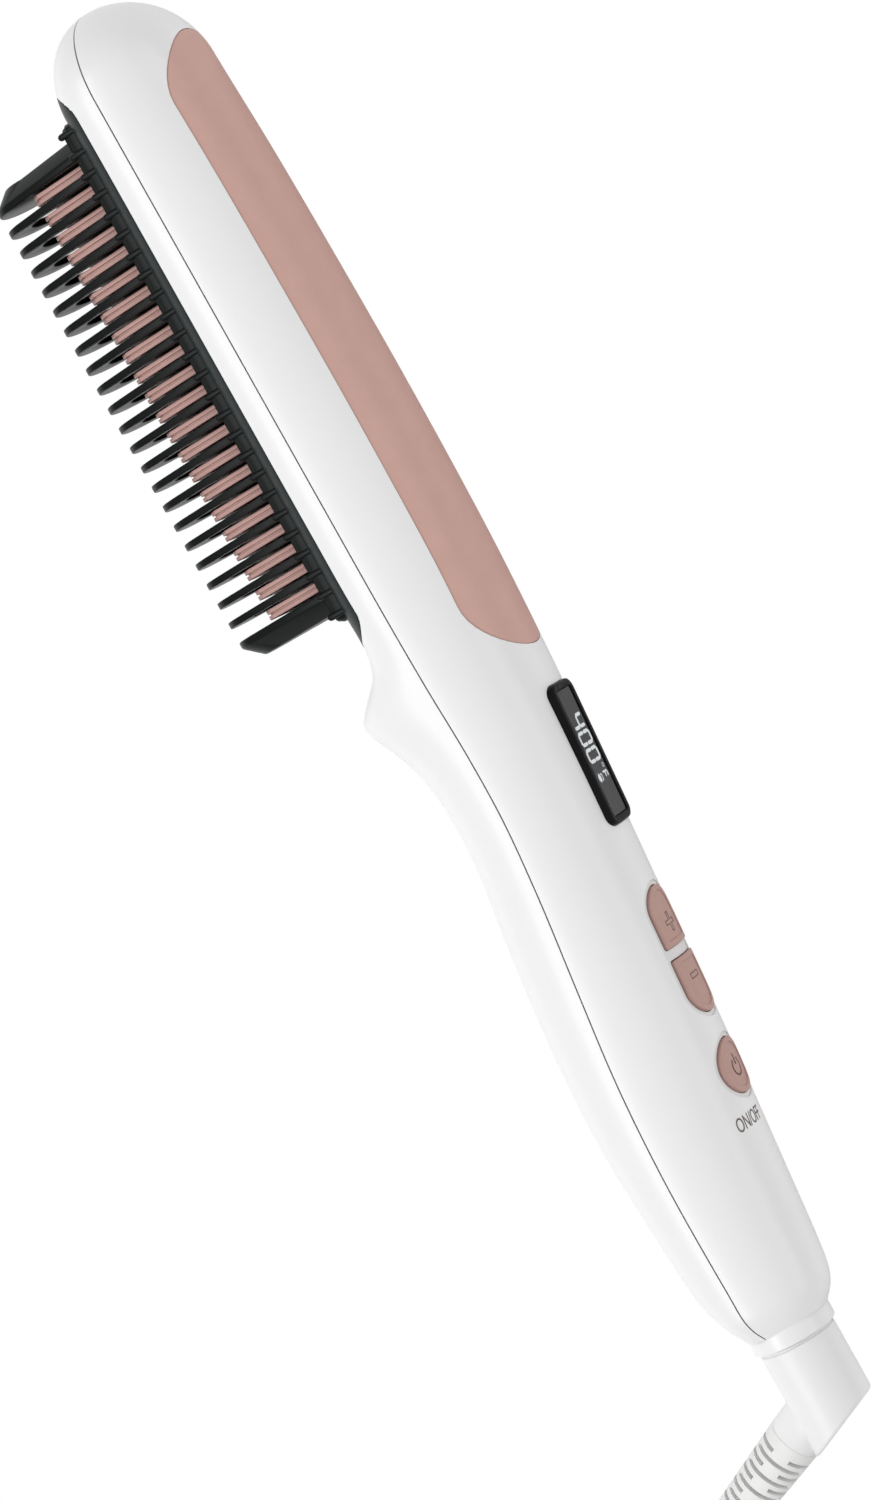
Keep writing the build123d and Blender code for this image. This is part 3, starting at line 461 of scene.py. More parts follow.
class Mould:
    """Collects the rings and faces of one piece and makes its object."""

    def __init__(self) -> None:
        """Starts empty."""
        self.points: list[Vector] = []
        self.faces: list[Sequence[int]] = []

    def ring(self, points: Sequence[Vector]) -> list[int]:
        """Adds a row of points and returns their numbers."""
        first = len(self.points)
        self.points.extend(points)
        return list(range(first, len(self.points)))

    def bridge(self, low: Sequence[int], high: Sequence[int], closed: bool = True) -> None:
        """Joins two rows of the same length with faces."""
        count = len(low)
        for i in range(count if closed else count - 1):
            k = (i + 1) % count
            self.faces.append((low[i], low[k], high[k], high[i]))

    def cap(self, ring: Sequence[int]) -> None:
        """Closes a ring with one face."""
        self.faces.append(tuple(ring))

    def stack(self, rings: Sequence[Sequence[Vector]], capped: bool = True) -> list[list[int]]:
        """Adds closed rings one on the other.

        Args:
            rings: rows of the same length.
            capped: close the first one and the last one.

        Returns:
            The numbers of each ring's points.
        """
        rows = [self.ring(row) for row in rings]
        for low, high in zip(rows, rows[1:]):
            self.bridge(low, high)
        if capped:
            self.cap(rows[0])
            self.cap(rows[-1])
        return rows

    def mesh(self, name: str, bevel: float = 0.0, segments: int = 2, angle: float = 30.0) -> bpy.types.Mesh:
        """Makes the mesh.

        Args:
            name: its name.
            bevel: width in metres of the rounding of its sharp edges.
            segments: faces across that rounding.
            angle: edges that turn by more than this many degrees are sharp.

        Returns:
            The mesh, smooth but for what sharp edges are left.
        """
        made = bpy.data.meshes.new(name)
        made.from_pydata([tuple(p) for p in self.points], [], [tuple(f) for f in self.faces])
        shape = bmesh.new()
        shape.from_mesh(made)
        bmesh.ops.remove_doubles(shape, verts=shape.verts, dist=1e-7)
        bmesh.ops.recalc_face_normals(shape, faces=shape.faces)
        if bevel:
            sharp = [e for e in shape.edges if e.is_manifold and e.calc_face_angle(0) > math.radians(angle)]
            bmesh.ops.bevel(shape, geom=sharp, offset=bevel, segments=segments, profile=0.5, affect="EDGES",
                            clamp_overlap=True)
        shape.to_mesh(made)
        shape.free()
        smooth(made, angle)
        return made

    def make(self, name: str, finish: Finish, body: Optional[Body] = None, bevel: float = 0.0,
             segments: int = 2, angle: float = 30.0) -> bpy.types.Object:
        """Makes the object in its finish, riding on a body."""
        piece = added(name, self.mesh(name, bevel, segments, angle))
        piece.data.materials.append(finish.material())
        if body is not None:
            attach(piece, body.value)
        return piece


def cut(piece: bpy.types.Object, cutters: Sequence[bpy.types.Object], angle: float = 30.0) -> None:
    """Cuts shapes out of a piece for good and deletes the cutters.

    Args:
        piece: what is cut.
        cutters: closed shapes; the faces they leave take their finish.
        angle: edges that turn by more than this many degrees are sharp.
    """
    for cutter in cutters:
        step = piece.modifiers.new("cut", "BOOLEAN")
        step.operation = "DIFFERENCE"
        step.solver = "EXACT"
        step.material_mode = "TRANSFER"
        step.object = cutter
        graph = bpy.context.evaluated_depsgraph_get()
        made = bpy.data.meshes.new_from_object(piece.evaluated_get(graph))
        piece.modifiers.remove(step)
        made.name = piece.name
        piece.data = made
    smooth(piece.data, angle)
    for cutter in cutters:
        bpy.data.objects.remove(cutter)


def half_across(start: float, end: float, half: float, corner: float) -> Callable[[float], float]:
    """Half width of a rectangle with rounded corners, as a function of s."""
    def width(s: float) -> float:
        """Half width at s."""
        away = min(s - start, end - s)
        if away >= corner:
            return half
        return half - corner + math.sqrt(max(corner**2 - (corner - away) ** 2, 0.0))
    return width


@dataclass
class Inlay:
    """A sheet or pocket that follows the brush's form inside an outline."""

    start: float
    end: float
    width: Callable[[float], float]
    side: Side = Side.BACK
    rows: int = 90
    columns: int = 28
    turn: float = 13.0

    def stations(self) -> list[float]:
        """Places of the rows, closer together at both ends."""
        steps = 12
        turns = [math.radians(90 * i / steps) for i in range(steps + 1)]
        count = self.rows - 2 * (steps + 1)
        straight = self.end - self.start - 2 * self.turn
        return ([self.start + self.turn * (1 - math.cos(a)) for a in turns]
                + [self.start + self.turn + straight * i / count for i in range(1, count)]
                + [self.end - self.turn * (1 - math.sin(a)) for a in turns])

    def sheet(self, mould: Mould, inset: float, draw: float, lift: Optional[float] = None) -> list[list[int]]:
        """Adds the sheet's rows.

        Args:
            mould: where they go.
            inset: depth below the form.
            draw: how far the outline is drawn in.
            lift: a flat height instead of the form.

        Returns:
            Rows of point numbers.
        """
        grid = []
        middle = (self.start + self.end) / 2
        share = 1 - 2 * draw / (self.end - self.start)
        for place in self.stations():
            s = middle + (place - middle) * share
            half = max(self.width(place) - draw, 0.02)
            row = []
            for j in range(self.columns + 1):
                z = half * math.sin(math.pi * (j / self.columns - 0.5))
                y = FORM.height(s, z, inset, self.side) if lift is None else lift
                row.append(FORM.point(s, y, z))
            grid.append(mould.ring(row))
        return grid

    def close(self, mould: Mould, low: list[list[int]], high: list[list[int]]) -> None:
        """Joins two sheets along their outlines."""
        def loop(grid: list[list[int]]) -> list[int]:
            """Outline of a sheet, once round."""
            return (grid[0] + [row[-1] for row in grid[1:-1]] + grid[-1][::-1]
                    + [row[0] for row in grid[1:-1]][::-1])
        mould.bridge(loop(low), loop(high))

    def faces(self, mould: Mould, grid: list[list[int]]) -> None:
        """Fills a sheet."""
        for low, high in zip(grid, grid[1:]):
            mould.bridge(low, high, closed=False)

    def solid(self, top: float, bottom: float, edge: float) -> Mould:
        """A sheet with thickness and a rounded edge.

        Args:
            top: inset of its outside.
            bottom: inset of its inside.
            edge: radius of its rounded edge.

        Returns:
            The mould that holds it.
        """
        mould = Mould()
        levels = ((top, edge), (top + 0.3 * edge, 0.3 * edge), (top + edge, 0.0), (bottom, 0.0))
        grids = [self.sheet(mould, inset, draw) for inset, draw in levels]
        self.faces(mould, grids[0])
        for low, high in zip(grids, grids[1:]):
            self.close(mould, low, high)
        self.faces(mould, grids[-1])
        return mould

    def pocket(self, inset: float, lift: float) -> Mould:
        """A cutter from the form's inset to a flat height outside it."""
        mould = Mould()
        grids = [self.sheet(mould, inset, 0.0), self.sheet(mould, 0.0, 0.0, lift)]
        for grid in grids:
            self.faces(mould, grid)
        self.close(mould, *grids)
        return mould


@dataclass
class Buttons:
    """The rocker's two halves and the power button."""

    rocker_s: float = 212.0
    rocker_length: float = 26.3
    width: float = 10.4
    bar: float = 2.0
    power_s: float = 236.6
    power_diameter: float = 11.2
    gap: float = 0.18
    proud: float = 0.35
    rim: float = 1.1
    depth: float = 4.4
    corner: float = 0.5
    well_reach: float = 6.0

    def outline(self, kind: Kind, grow: float) -> list[Flat]:
        """Outline of a button seen from above, as (s, z), once round.

        Args:
            kind: which button.
            grow: how far it is widened.

        Returns:
            Its points, always the same number for a kind.
        """
        if kind is Kind.POWER:
            return [(self.power_s + s, z) for s, z in circle(72, self.power_diameter / 2 + grow)]
        way = -1 if kind is Kind.PLUS else 1
        half = self.width / 2 + grow
        near = self.bar / 2 + self.gap - grow
        centre = self.rocker_length / 2 - self.width / 2
        side = half - self.corner
        bends = [[around(self.corner, first + 22.5 * i) for i in range(5)] for first in (90, 180)]
        loop = [(near + self.corner + s, side + z) for s, z in bends[0]]
        loop += [(near, side * (1 - 2 * i / 8)) for i in range(1, 8)]
        loop += [(near + self.corner + s, z - side) for s, z in bends[1]]
        loop += [(centre + s, z) for s, z in (around(half, -90 + 180 * i / 32) for i in range(33))]
        return [(self.rocker_s + way * s, z) for s, z in loop]

    def ring(self, kind: Kind, grow: float, rise: float, flat: bool = False,
             share: float = 1.0) -> list[Vector]:
        """Ring of a button's outline laid on the form, or on the deck plane, and moved square to the deck."""
        loop = self.outline(kind, grow)
        middle_s = sum(s for s, _ in loop) / len(loop)
        points = []
        for s, z in loop:
            s = middle_s + (s - middle_s) * share
            z = z * share
            if flat:
                points.append(FORM.deck(s, z, -rise))
            else:
                points.append(FORM.point(s, FORM.height(s, z, 0.0, Side.BACK) + rise, z))
        return points

    def make(self, kind: Kind) -> None:
        """Makes a button with its raised rim and sunk face."""
        mould = Mould()
        rings = [self.ring(kind, 0.0, -self.depth, flat=True), self.ring(kind, 0.0, -0.4)]
        top, rim = self.proud, self.rim
        profile = ((0.0, top - 0.14), (-0.05, top - 0.04), (-0.16, top), (0.12 - rim, top),
                   (-rim, top - 0.06), (-rim - 0.08, 0.06), (-rim - 0.2, 0.0))
        rings += [self.ring(kind, grow, rise) for grow, rise in profile]
        rings += [self.ring(kind, -rim - 0.2, 0.0, share=share) for share in (0.8, 0.55, 0.3)]
        mould.stack(rings)
        piece = mould.make(kind.value + "_cap", ROSE_BUTTON, Body(kind.value), angle=35.0)
        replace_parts(piece, kind.value + "_button")

    def well(self, kind: Kind) -> bpy.types.Object:
        """Cutter of the hole a button sits in."""
        mould = Mould()
        mould.stack([self.ring(kind, self.gap, way * self.well_reach, flat=True) for way in (-1, 1)])
        # The well's faces take the pale grey of painted shade.
        return mould.make("well", RECESS_SHADE_GREY)


def decal(name: str, shapes: Sequence[Sequence[Flat]], finish: Finish, body: Body) -> None:
    """Makes thin marks laid on the back of the form.

    Args:
        name: the piece's name.
        shapes: outlines as (s, z).
        finish: their finish.
        body: what they ride on.
    """
    sunk, proud = -0.07, 0.03
    mould = Mould()
    for shape in shapes:
        foot = [(s, FORM.height(s, z, 0.0, Side.BACK), z) for s, z in shape]
        mould.stack([[FORM.point(s, y + rise, z) for s, y, z in foot] for rise in (sunk, proud)])
    mould.make(name, finish, body)


def arc_shapes(s: float, radius: float, width: float, first: float, last: float) -> list[list[Flat]]:
    """Pieces of a ring about a place on the middle line, angles in degrees from +s towards +z."""
    steps = 20
    shapes = []
    for i in range(steps):
        a = first + (last - first) * i / steps
        b = first + (last - first) * (i + 1) / steps
        low, high = radius - width / 2, radius + width / 2
        quad = (around(low, a), around(high, a), around(high, b), around(low, b))
        shapes.append([(s + along, z) for along, z in quad])
    return shapes


def outline_shapes(loop: Sequence[Flat], width: float) -> list[list[Flat]]:
    """Thin bars along a closed outline's edges."""
    shapes = []
    for a, b in zip(loop, [*loop[1:], loop[0]]):
        way = Vector((b[0] - a[0], b[1] - a[1])).normalized() * width / 2
        side = Vector((-way.y, way.x))
        start, end = Vector(a) - way, Vector(b) + way
        shapes.append([tuple(start - side), tuple(end - side), tuple(end + side), tuple(start + side)])
    return shapes


@dataclass
class Housing:
    """The two shells, the painted shadow in the gap between them, the neck's collar and the inlay panel."""

    wall: float = 2.0
    seam: float = 0.3
    columns: int = 30
    end: float = 285.6
    panel: Triple = (12.7, 147.2, 13.0)  # start, end, half width
    halo: float = 1.1
    fit: float = 0.1
    dish_depth: float = 0.3
    clear: float = 30.0
    neck_run: float = 9.0
    pocket_depth: float = 1.12
    inner_stop: float = 3.0
    gap_lap: float = 0.2
    gap_inset: float = 0.25
    gap_share: float = 0.94
    plate: Triple = (-0.02, 1.0, 0.22)  # insets of its outside and inside, edge radius
    collar: Sequence[Flat] = ((282.0, 8.2), (285.4, 8.8), (288.3, 8.8), (288.75, 8.7), (289.0, 8.4),
                              (289.0, 5.6), (286.0, 5.6))

    def stations(self, inset: float) -> list[float]:
        """Places of the cross sections, close together round the nose and the neck."""
        nose, stop = FORM.nose, self.end - self.neck_run
        count = int((stop - nose) / 1.6)
        places = [inset + (nose - inset) * (1 - math.cos(math.radians(90 * i / 20))) for i in range(1, 20)]
        places += [nose + (stop - nose) * i / count for i in range(count + 1)]
        return places + [stop + (self.end - stop) * i / 12 for i in range(1, 13)]

    def half_ring(self, s: float, inset: float, side: Side, drop: float) -> list[Vector]:
        """Half of a cross section from the near parting edge to the far one."""
        row = [FORM.quarter(s, j / self.columns, inset, side) for j in range(self.columns + 1)]
        whole = row + [(y, -z) for y, z in row[-2::-1]]
        edge_y = whole[0][0]
        limit = max if side is Side.BACK else min
        points = []
        for k, (y, z) in enumerate(whole):
            rim = k in (0, len(whole) - 1)
            shift = drop * side.value if rim else 0.0
            points.append(FORM.point(s, limit(y, edge_y + shift), z))
        return points

    def shell(self, side: Side, name: str) -> bpy.types.Object:
        """One half of the housing with its wall.

        Args:
            side: back or belly half.
            name: the piece's name.

        Returns:
            The closed shell.
        """
        mould = Mould()
        drop = 0.0 if side is Side.BACK else self.seam
        outer = [mould.ring(self.half_ring(s, 0.0, side, drop)) for s in self.stations(0.0)]
        stop = self.end - self.inner_stop
        inner = [mould.ring(self.half_ring(min(s, stop + 0.001 * i), self.wall, side, drop))
                 for i, s in enumerate(self.stations(self.wall))]
        for grid in (outer, inner):
            for low, high in zip(grid, grid[1:]):
                mould.bridge(low, high, closed=False)
        for row_out, row_in, next_out, next_in in zip(outer, inner, outer[1:], inner[1:]):
            mould.faces.append((row_out[0], row_in[0], next_in[0], next_out[0]))
            mould.faces.append((row_out[-1], next_out[-1], next_in[-1], row_in[-1]))
        for row_out, row_in in ((outer[0], inner[0]), (outer[-1], inner[-1])):
            mould.bridge(row_out, row_in, closed=False)
        return mould.make(name, WHITE_SHELL, Body.BRUSH, angle=32.0)

    def seam_line(self) -> None:
        """Painted shadow of the gap between the shells: a dark ribbon just inside them along the parting
        line.
        """
        mould = Mould()
        rows = []
        places = self.stations(self.gap_inset)
        for lift in (self.gap_lap, -self.seam - self.gap_lap):
            row = []
            for s, sign in [(s, 1) for s in places] + [(s, -1) for s in places[::-1]]:
                middle, half = FORM.section(min(s, self.end), self.gap_inset)[:2]
                row.append(FORM.point(s, middle + lift, sign * half))
            rows.append(row)
        level = FORM.half_width * MM
        inner = [[Vector((p.x, p.y, level + (p.z - level) * self.gap_share)) for p in row] for row in rows]
        rings = [rows[0], rows[1], inner[1], inner[0]]
        made = [mould.ring(row) for row in rings]
        for k in range(4):
            mould.bridge(made[k], made[(k + 1) % 4], closed=False)
        mould.faces.append(tuple(ring[0] for ring in made))
        mould.faces.append(tuple(ring[-1] for ring in made))
        mould.make("parting_shadow_ribbon", SEAM_SHADOW, Body.BRUSH)

    def neck(self) -> None:
        """Makes the collar behind the grip, with its rounded rim and the ring that the elbow turns in."""
        mould = Mould()
        mould.stack([[FORM.point(s, FORM.neck_y + y, z) for y, z in circle(72, radius)]
                     for s, radius in self.collar], capped=False)
        mould.make("neck_collar", WHITE_SHELL, Body.BRUSH, angle=35.0)

    def dish(self, name: str, middle: float, length: float, width: float, rows: int) -> bpy.types.Object:
        """Cutter of the shallow dish round a button.

        Args:
            name: the cutter's name.
            middle: place of the button's middle along the brush.
            length: the button's length.
            width: its width.
            rows: rows of the cutter.

        Returns:
            The cutter.
        """
        reach, half = length / 2 + self.halo, width / 2 + self.halo
        first, last = middle - reach, middle + reach
        turn = min(half, reach - 0.01)
        dish = Inlay(first, last, half_across(first, last, half, half), turn=turn, rows=rows)
        # The dish's faces take the pale grey of painted shade, darker than the shell.
        return dish.pocket(self.dish_depth, self.clear).make(name, RECESS_SHADE_GREY)

    def make(self, buttons: Buttons) -> None:
        """Makes the shells with all their openings, and the panel."""
        upper = self.shell(Side.BACK, "back_shell")
        start, end, half = self.panel
        wide = half_across(start - self.fit, end + self.fit, half + self.fit, half + self.fit)
        pocket = Inlay(start - self.fit, end + self.fit, wide).pocket(self.pocket_depth, self.clear)
        hole = Mould()
        hole.stack([bezel_ring(self.fit, rise) for rise in (-6.0, 6.0)])
        size = buttons.power_diameter
        # Every cutter leaves its faces in the pale grey of painted shade.
        cutters = [pocket.make("pocket", RECESS_SHADE_GREY),
                   self.dish("rocker_dish", buttons.rocker_s, buttons.rocker_length, buttons.width, 50),
                   self.dish("power_dish", buttons.power_s, size, size, 28),
                   hole.make("bezel_hole", RECESS_SHADE_GREY)]
        cutters.extend(buttons.well(kind) for kind in Kind)
        cut(upper, cutters)
        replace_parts(upper, "upper_shell")
        lower = self.shell(Side.BELLY, "belly_shell")
        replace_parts(lower, "lower_shell")
        self.seam_line()
        self.neck()
        panel = Inlay(start, end, half_across(start, end, half, half), rows=110, columns=36)
        plate = panel.solid(*self.plate).make("back_panel", ROSE_PANEL, Body.BRUSH, angle=40.0)
        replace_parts(plate, "top_panel")
        log.info("housing made")


@dataclass
class Swivel:
    """The elbow that the cord leaves by, with its flat cut and the root of the sleeve."""

    start: float = 289.6
    radius: float = 8.0
    corner: float = 302.0
    lean: float = math.radians(64.3)
    root: float = 5.45
    rise: float = 0.3
    sleeve: float = 11.8
    edge: Sequence[Flat] = ((0.0, 0.9), (0.07, 0.5), (0.26, 0.2), (0.55, 0.04), (0.9, 0.0))

    def cut_s(self, y: float) -> float:
        """Where the flat cut crosses a height."""
        lift = self.root + self.rise - math.cos(self.lean) * (y - FORM.neck_y)
        return self.corner + lift / math.sin(self.lean)

    def ring(self, radius: float, place: Callable[[float], float]) -> list[Vector]:
        """Ring about the swivel's axis, its place along the brush given by its height."""
        spots = [(FORM.neck_y + y, z) for y, z in circle(96, radius)]
        return [FORM.point(place(y), y, z) for y, z in spots]

    def make(self) -> None:
        """Makes the elbow."""
        mould = Mould()
        rings = [self.ring(self.radius - inset, lambda y, b=back: self.start + b)
                 for inset, back in ((0.35, 0.0), (0.1, 0.1), (0.0, 0.35))]
        rings += [self.ring(self.radius, lambda y, k=share: self.start + k * (self.cut_s(y) - self.start))
                  for share in (0.25, 0.5, 0.75)]
        rings += [self.ring(self.radius - inset, lambda y, b=back: self.cut_s(y) - b)
                  for inset, back in self.edge]
        mould.stack(rings)
        elbow = mould.make("elbow", ELBOW_WHITE, Body.CORD_END, angle=50.0)
        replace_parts(elbow, "swivel_elbow")
        way = Vector((math.cos(self.lean), -math.sin(self.lean)))
        side = Vector((-way.y, way.x))
        root = Mould()
        rings = []
        end = self.sleeve
        for along, radius in ((4.0, self.root), (end - 0.1, self.root), (end, self.root - 0.1)):
            row = []
            for out, z in circle(64, radius):
                spot = Vector((self.corner, FORM.neck_y)) + way * along + side * out
                row.append(FORM.point(spot.x, spot.y, z))
            rings.append(row)
        root.stack(rings)
        root.make("sleeve_root", ELBOW_WHITE, Body.CORD_END, angle=50.0)


def bezel_ring(grow: float, rise: float) -> list[Vector]:
    """Ring of the display frame's outline on the deck plane.

    Args:
        grow: how far it is widened.
        rise: height over the deck plane.

    Returns:
        Its points.
    """
    middle, length, width, corner = BEZEL
    loop = rounded(length + 2 * grow, width + 2 * grow, max(corner + grow, 0.15), 6)
    return [FORM.deck(middle + s, z, -rise) for s, z in loop]


@dataclass
class Display:
    """The display's frame, window and lit marks."""

    proud: float = 0.7
    rim: float = 1.5
    window_rise: float = 0.4
    line: float = 0.7

    def frame_piece(self) -> None:
        """Makes the frame with its chamfered rim."""
        mould = Mould()
        top, rim = self.proud, self.rim
        profile = ((0.0, -3.2), (0.0, top - 0.5), (-0.12, top - 0.2), (-0.5, top), (0.15 - rim, top),
                   (-rim, top - 0.15), (-rim, -2.4))
        rows = mould.stack([bezel_ring(grow, rise) for grow, rise in profile], capped=False)
        mould.bridge(rows[-1], rows[0])
        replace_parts(mould.make("display_frame", BEZEL_BLACK, Body.BRUSH, angle=25.0), "display_bezel")

    def window(self) -> None:
        """Makes the dark window with its softly rounded edge."""
        mould = Mould()
        profile = ((0.08, -1.2), (0.08, self.window_rise - 0.1), (0.18, self.window_rise))
        mould.stack([bezel_ring(-self.rim - gap, rise) for gap, rise in profile])
        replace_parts(mould.make("display_window", WINDOW_DARK, Body.BRUSH, angle=25.0), "display_lens")

    def stroke(self, mould: Mould, a: Flat, b: Flat, width: float) -> None:
        """Adds one straight stroke with pointed ends between two places on the window."""
        way = Vector((b[0] - a[0], b[1] - a[1]))
        length = way.length
        way.normalize()
        side = Vector((-way.y, way.x)) * width / 2
        along = way * width / 2
        start, end = Vector(a), Vector(b)
        loop = [start, start + along + side, end - along + side,
                end, end - along - side, start + along - side]
        if length > width:
            mould.stack([[FORM.deck(p.x, p.y, depth - self.window_rise) for p in loop]
                         for depth in (0.05, -0.03)])

    def digit(self, mould: Mould, s: float, wide: float, tall: float, lit: str, mid: float = 0.0) -> None:
        """Adds a seven-stroke digit that reads along the brush with its top at the far side."""
        top, low = mid - tall / 2, mid + tall / 2
        strokes = {"a": ((s, top), (s + wide, top)), "b": ((s + wide, top), (s + wide, mid)),
                   "c": ((s + wide, mid), (s + wide, low)), "d": ((s, low), (s + wide, low)),
                   "e": ((s, mid), (s, low)), "f": ((s, top), (s, mid)), "g": ((s, mid), (s + wide, mid))}
        for name in lit:
            self.stroke(mould, *strokes[name], min(self.line, tall / 5))

    def marks(self) -> None:
        """Lit digits with a degree sign, an F and a padlock."""
        mould = Mould()
        for s, lit in ((163.2, "bcfg"), (166.7, "abcdef"), (170.2, "abcdef")):
            self.digit(mould, s, 2.3, 5.4, lit)
        self.digit(mould, 175.2, 1.2, 2.2, "afge", -1.5)
        self.stroke(mould, (174.9, 1.9), (176.9, 1.9), 1.3)
        shackle = ((175.3, 1.2), (175.3, 0.5), (176.5, 0.5), (176.5, 1.2))
        for a, b in zip(shackle, shackle[1:]):
            self.stroke(mould, a, b, 0.3)
        degree = [(174.0 + s, z - 2.2) for s, z in circle(8, 0.42)]
        for a, b in zip(degree, degree[1:] + degree[:1]):
            self.stroke(mould, a, b, 0.2)
        mould.make("display_marks", DIGIT_GLOW, Body.BRUSH)

    def make(self) -> None:
        """Makes the display."""
        self.frame_piece()
        self.window()
        self.marks()


@dataclass
class Comb:
    """The black comb and the heated fins between its blades."""

    pitch: float = 4.37
    first_rib: float = 19.2
    blades: int = 23
    thick: float = 1.35
    root: Flat = (-10.6, 12.3)
    corner: Flat = (-32.4, 6.8)
    tip: float = -37.6
    window: tuple[float, ...] = (5.0, -24.5, -29.5, -32.6)  # half width, top, shoulder, bottom
    end_depth: float = 3.2
    end_inset: float = 3.6
    rail_half: float = 12.9
    rail_bottom: float = -11.9
    rail_top: float = -7.0
    rail_end: float = 1.6
    rail_corner: float = 2.2
    step_bottom: float = -10.9
    step_reach: float = 0.35
    skirt: tuple[float, ...] = (11.8, 132.4, 16.6, 6.4)  # start, end, half width, corner
    skirt_plate: Triple = (-0.06, 0.9, 0.25)  # insets of its outside and inside, edge radius
    rib_radius: float = 0.7
    rib_profile: Sequence[Flat] = ((-8.0, 1.0), (-12.1, 1.0), (-12.45, 0.87), (-12.72, 0.5), (-12.8, 0.12))
    fin_thick: float = 2.0
    fin_root: float = 8.8
    fin_half: float = 7.6
    fin_tip: float = -27.0
    fin_groove: float = 0.4
    fin_top: float = -9.6
    fin_chamfer: float = 1.6

    def arc(self, shoulder: Flat, tip: float, steps: int) -> list[Flat]:
        """Round end from a shoulder to the tip at the middle, as (y, z)."""
        y, z = shoulder
        drop = y - tip
        radius = (z * z + drop * drop) / (2 * drop)
        centre = tip + radius
        first = math.atan2(z, centre - y)
        turns = [first * (1 - i / steps) for i in range(1, steps + 1)]
        return [(centre - radius * math.cos(turn), radius * math.sin(turn)) for turn in turns]

    def half_face(self, sign: int, inset: float, solid: bool) -> list[Flat]:
        """Half of a blade's face, from its middle round its outline and back.

        Args:
            sign: which side of the middle.
            inset: how far it is drawn in.
            solid: without a window.

        Returns:
            Its points, as (y, z).
        """
        corner = (self.corner[0] + inset, self.corner[1] - inset)
        loop = [(self.root[0], 0.0), (self.root[0], self.root[1] - inset), corner]
        loop += self.arc(corner, self.tip + inset, 12)
        if not solid:
            half, top, shoulder, bottom = self.window
            inner = [(shoulder, half)] + self.arc((shoulder, half), bottom, 8)
            loop += inner[::-1] + [(top, half), (top, 0.0)]
        return [(y, sign * z) for y, z in loop]

    def blade(self, mould: Mould, s: float) -> None:
        """Adds one arched blade."""
        for sign in (-1, 1):
            loop = self.half_face(sign, 0.0, False)
            near = mould.ring([FORM.point(s - self.thick / 2, y, z) for y, z in loop])
            far = mould.ring([FORM.point(s + self.thick / 2, y, z) for y, z in loop])
            mould.cap(near)
            mould.cap(far)
            for i in range(len(loop) - 1):
                if loop[i][1] or loop[i + 1][1]:
                    mould.faces.append((near[i], near[i + 1], far[i + 1], far[i]))

    def end_blade(self, mould: Mould, s: float, way: int) -> None:
        """Adds the closed blade at one end, sloping in to its outer face."""
        rings = []
        half = self.thick / 2
        for offset, inset in ((-half, 0.0), (half, 0.0), (half + self.end_depth, self.end_inset)):
            loop = self.half_face(1, inset, True)
            mirrored = [(y, -z) for y, z in loop[-2:0:-1]]
            rings.append([FORM.point(s + way * offset, y, z) for y, z in loop[1:] + mirrored])
        mould.stack(rings)

    def block(self, name: str, low: float, half: float, grow: float, bevel: float) -> bpy.types.Object:
        """A long block with rounded corners, the comb's rail or the step round it.

        Args:
            name: the piece's name.
            low: height of its lower face.
            half: half of its width.
            grow: how far each end is drawn out.
            bevel: rounding of its edges.

        Returns:
            The piece.
        """
        length = (self.blades + 1) * self.pitch + 2 * (self.rail_end + grow)
        middle = self.first_rib + (self.blades + 1) * self.pitch / 2
        loop = rounded(length, 2 * half, self.rail_corner, 4)
        mould = Mould()
        mould.stack([[FORM.point(middle + s, y, z) for s, z in loop] for y in (self.rail_top, low)])
        return mould.make(name, COMB_BLACK, Body.BRUSH, bevel=bevel * MM)

    def knuckles(self) -> None:
        """Makes the half-round ribs along both sides of the rail, with domed lower ends."""
        mould = Mould()
        round_rib = circle(16, self.rib_radius)
        for k in range(self.blades + 2):
            for side in (-self.rail_half, self.rail_half):
                middle = self.first_rib + k * self.pitch
                mould.stack([[FORM.point(middle + share * s, y, side + share * z) for s, z in round_rib]
                             for y, share in self.rib_profile])
        mould.make("comb_knuckles", COMB_BLACK, Body.BRUSH, angle=50.0)

    def fins(self) -> None:
        """Makes the heated fins, with chamfered tips and a groove along their edges."""
        mould = Mould()
        for i in range(1, self.blades):
            s = self.first_rib + (i + 0.5) * self.pitch
            for low, high, inset in ((-0.5, -0.09, 0.0), (-0.14, 0.14, self.fin_groove), (0.09, 0.5, 0.0)):
                root, half, tip = self.fin_root - inset, self.fin_half - inset, self.fin_tip + inset
                edge = ((self.fin_top, root), (tip + self.fin_chamfer, half), (tip, half - self.fin_chamfer))
                loop = [(y, -z) for y, z in edge] + list(edge[::-1])
                mould.stack([[FORM.point(s + offset * self.fin_thick, y, z) for y, z in loop]
                             for offset in (low, high)])
        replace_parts(mould.make("heated_fins", ROSE_FIN, Body.BRUSH, bevel=0.12 * MM), "heater_comb")

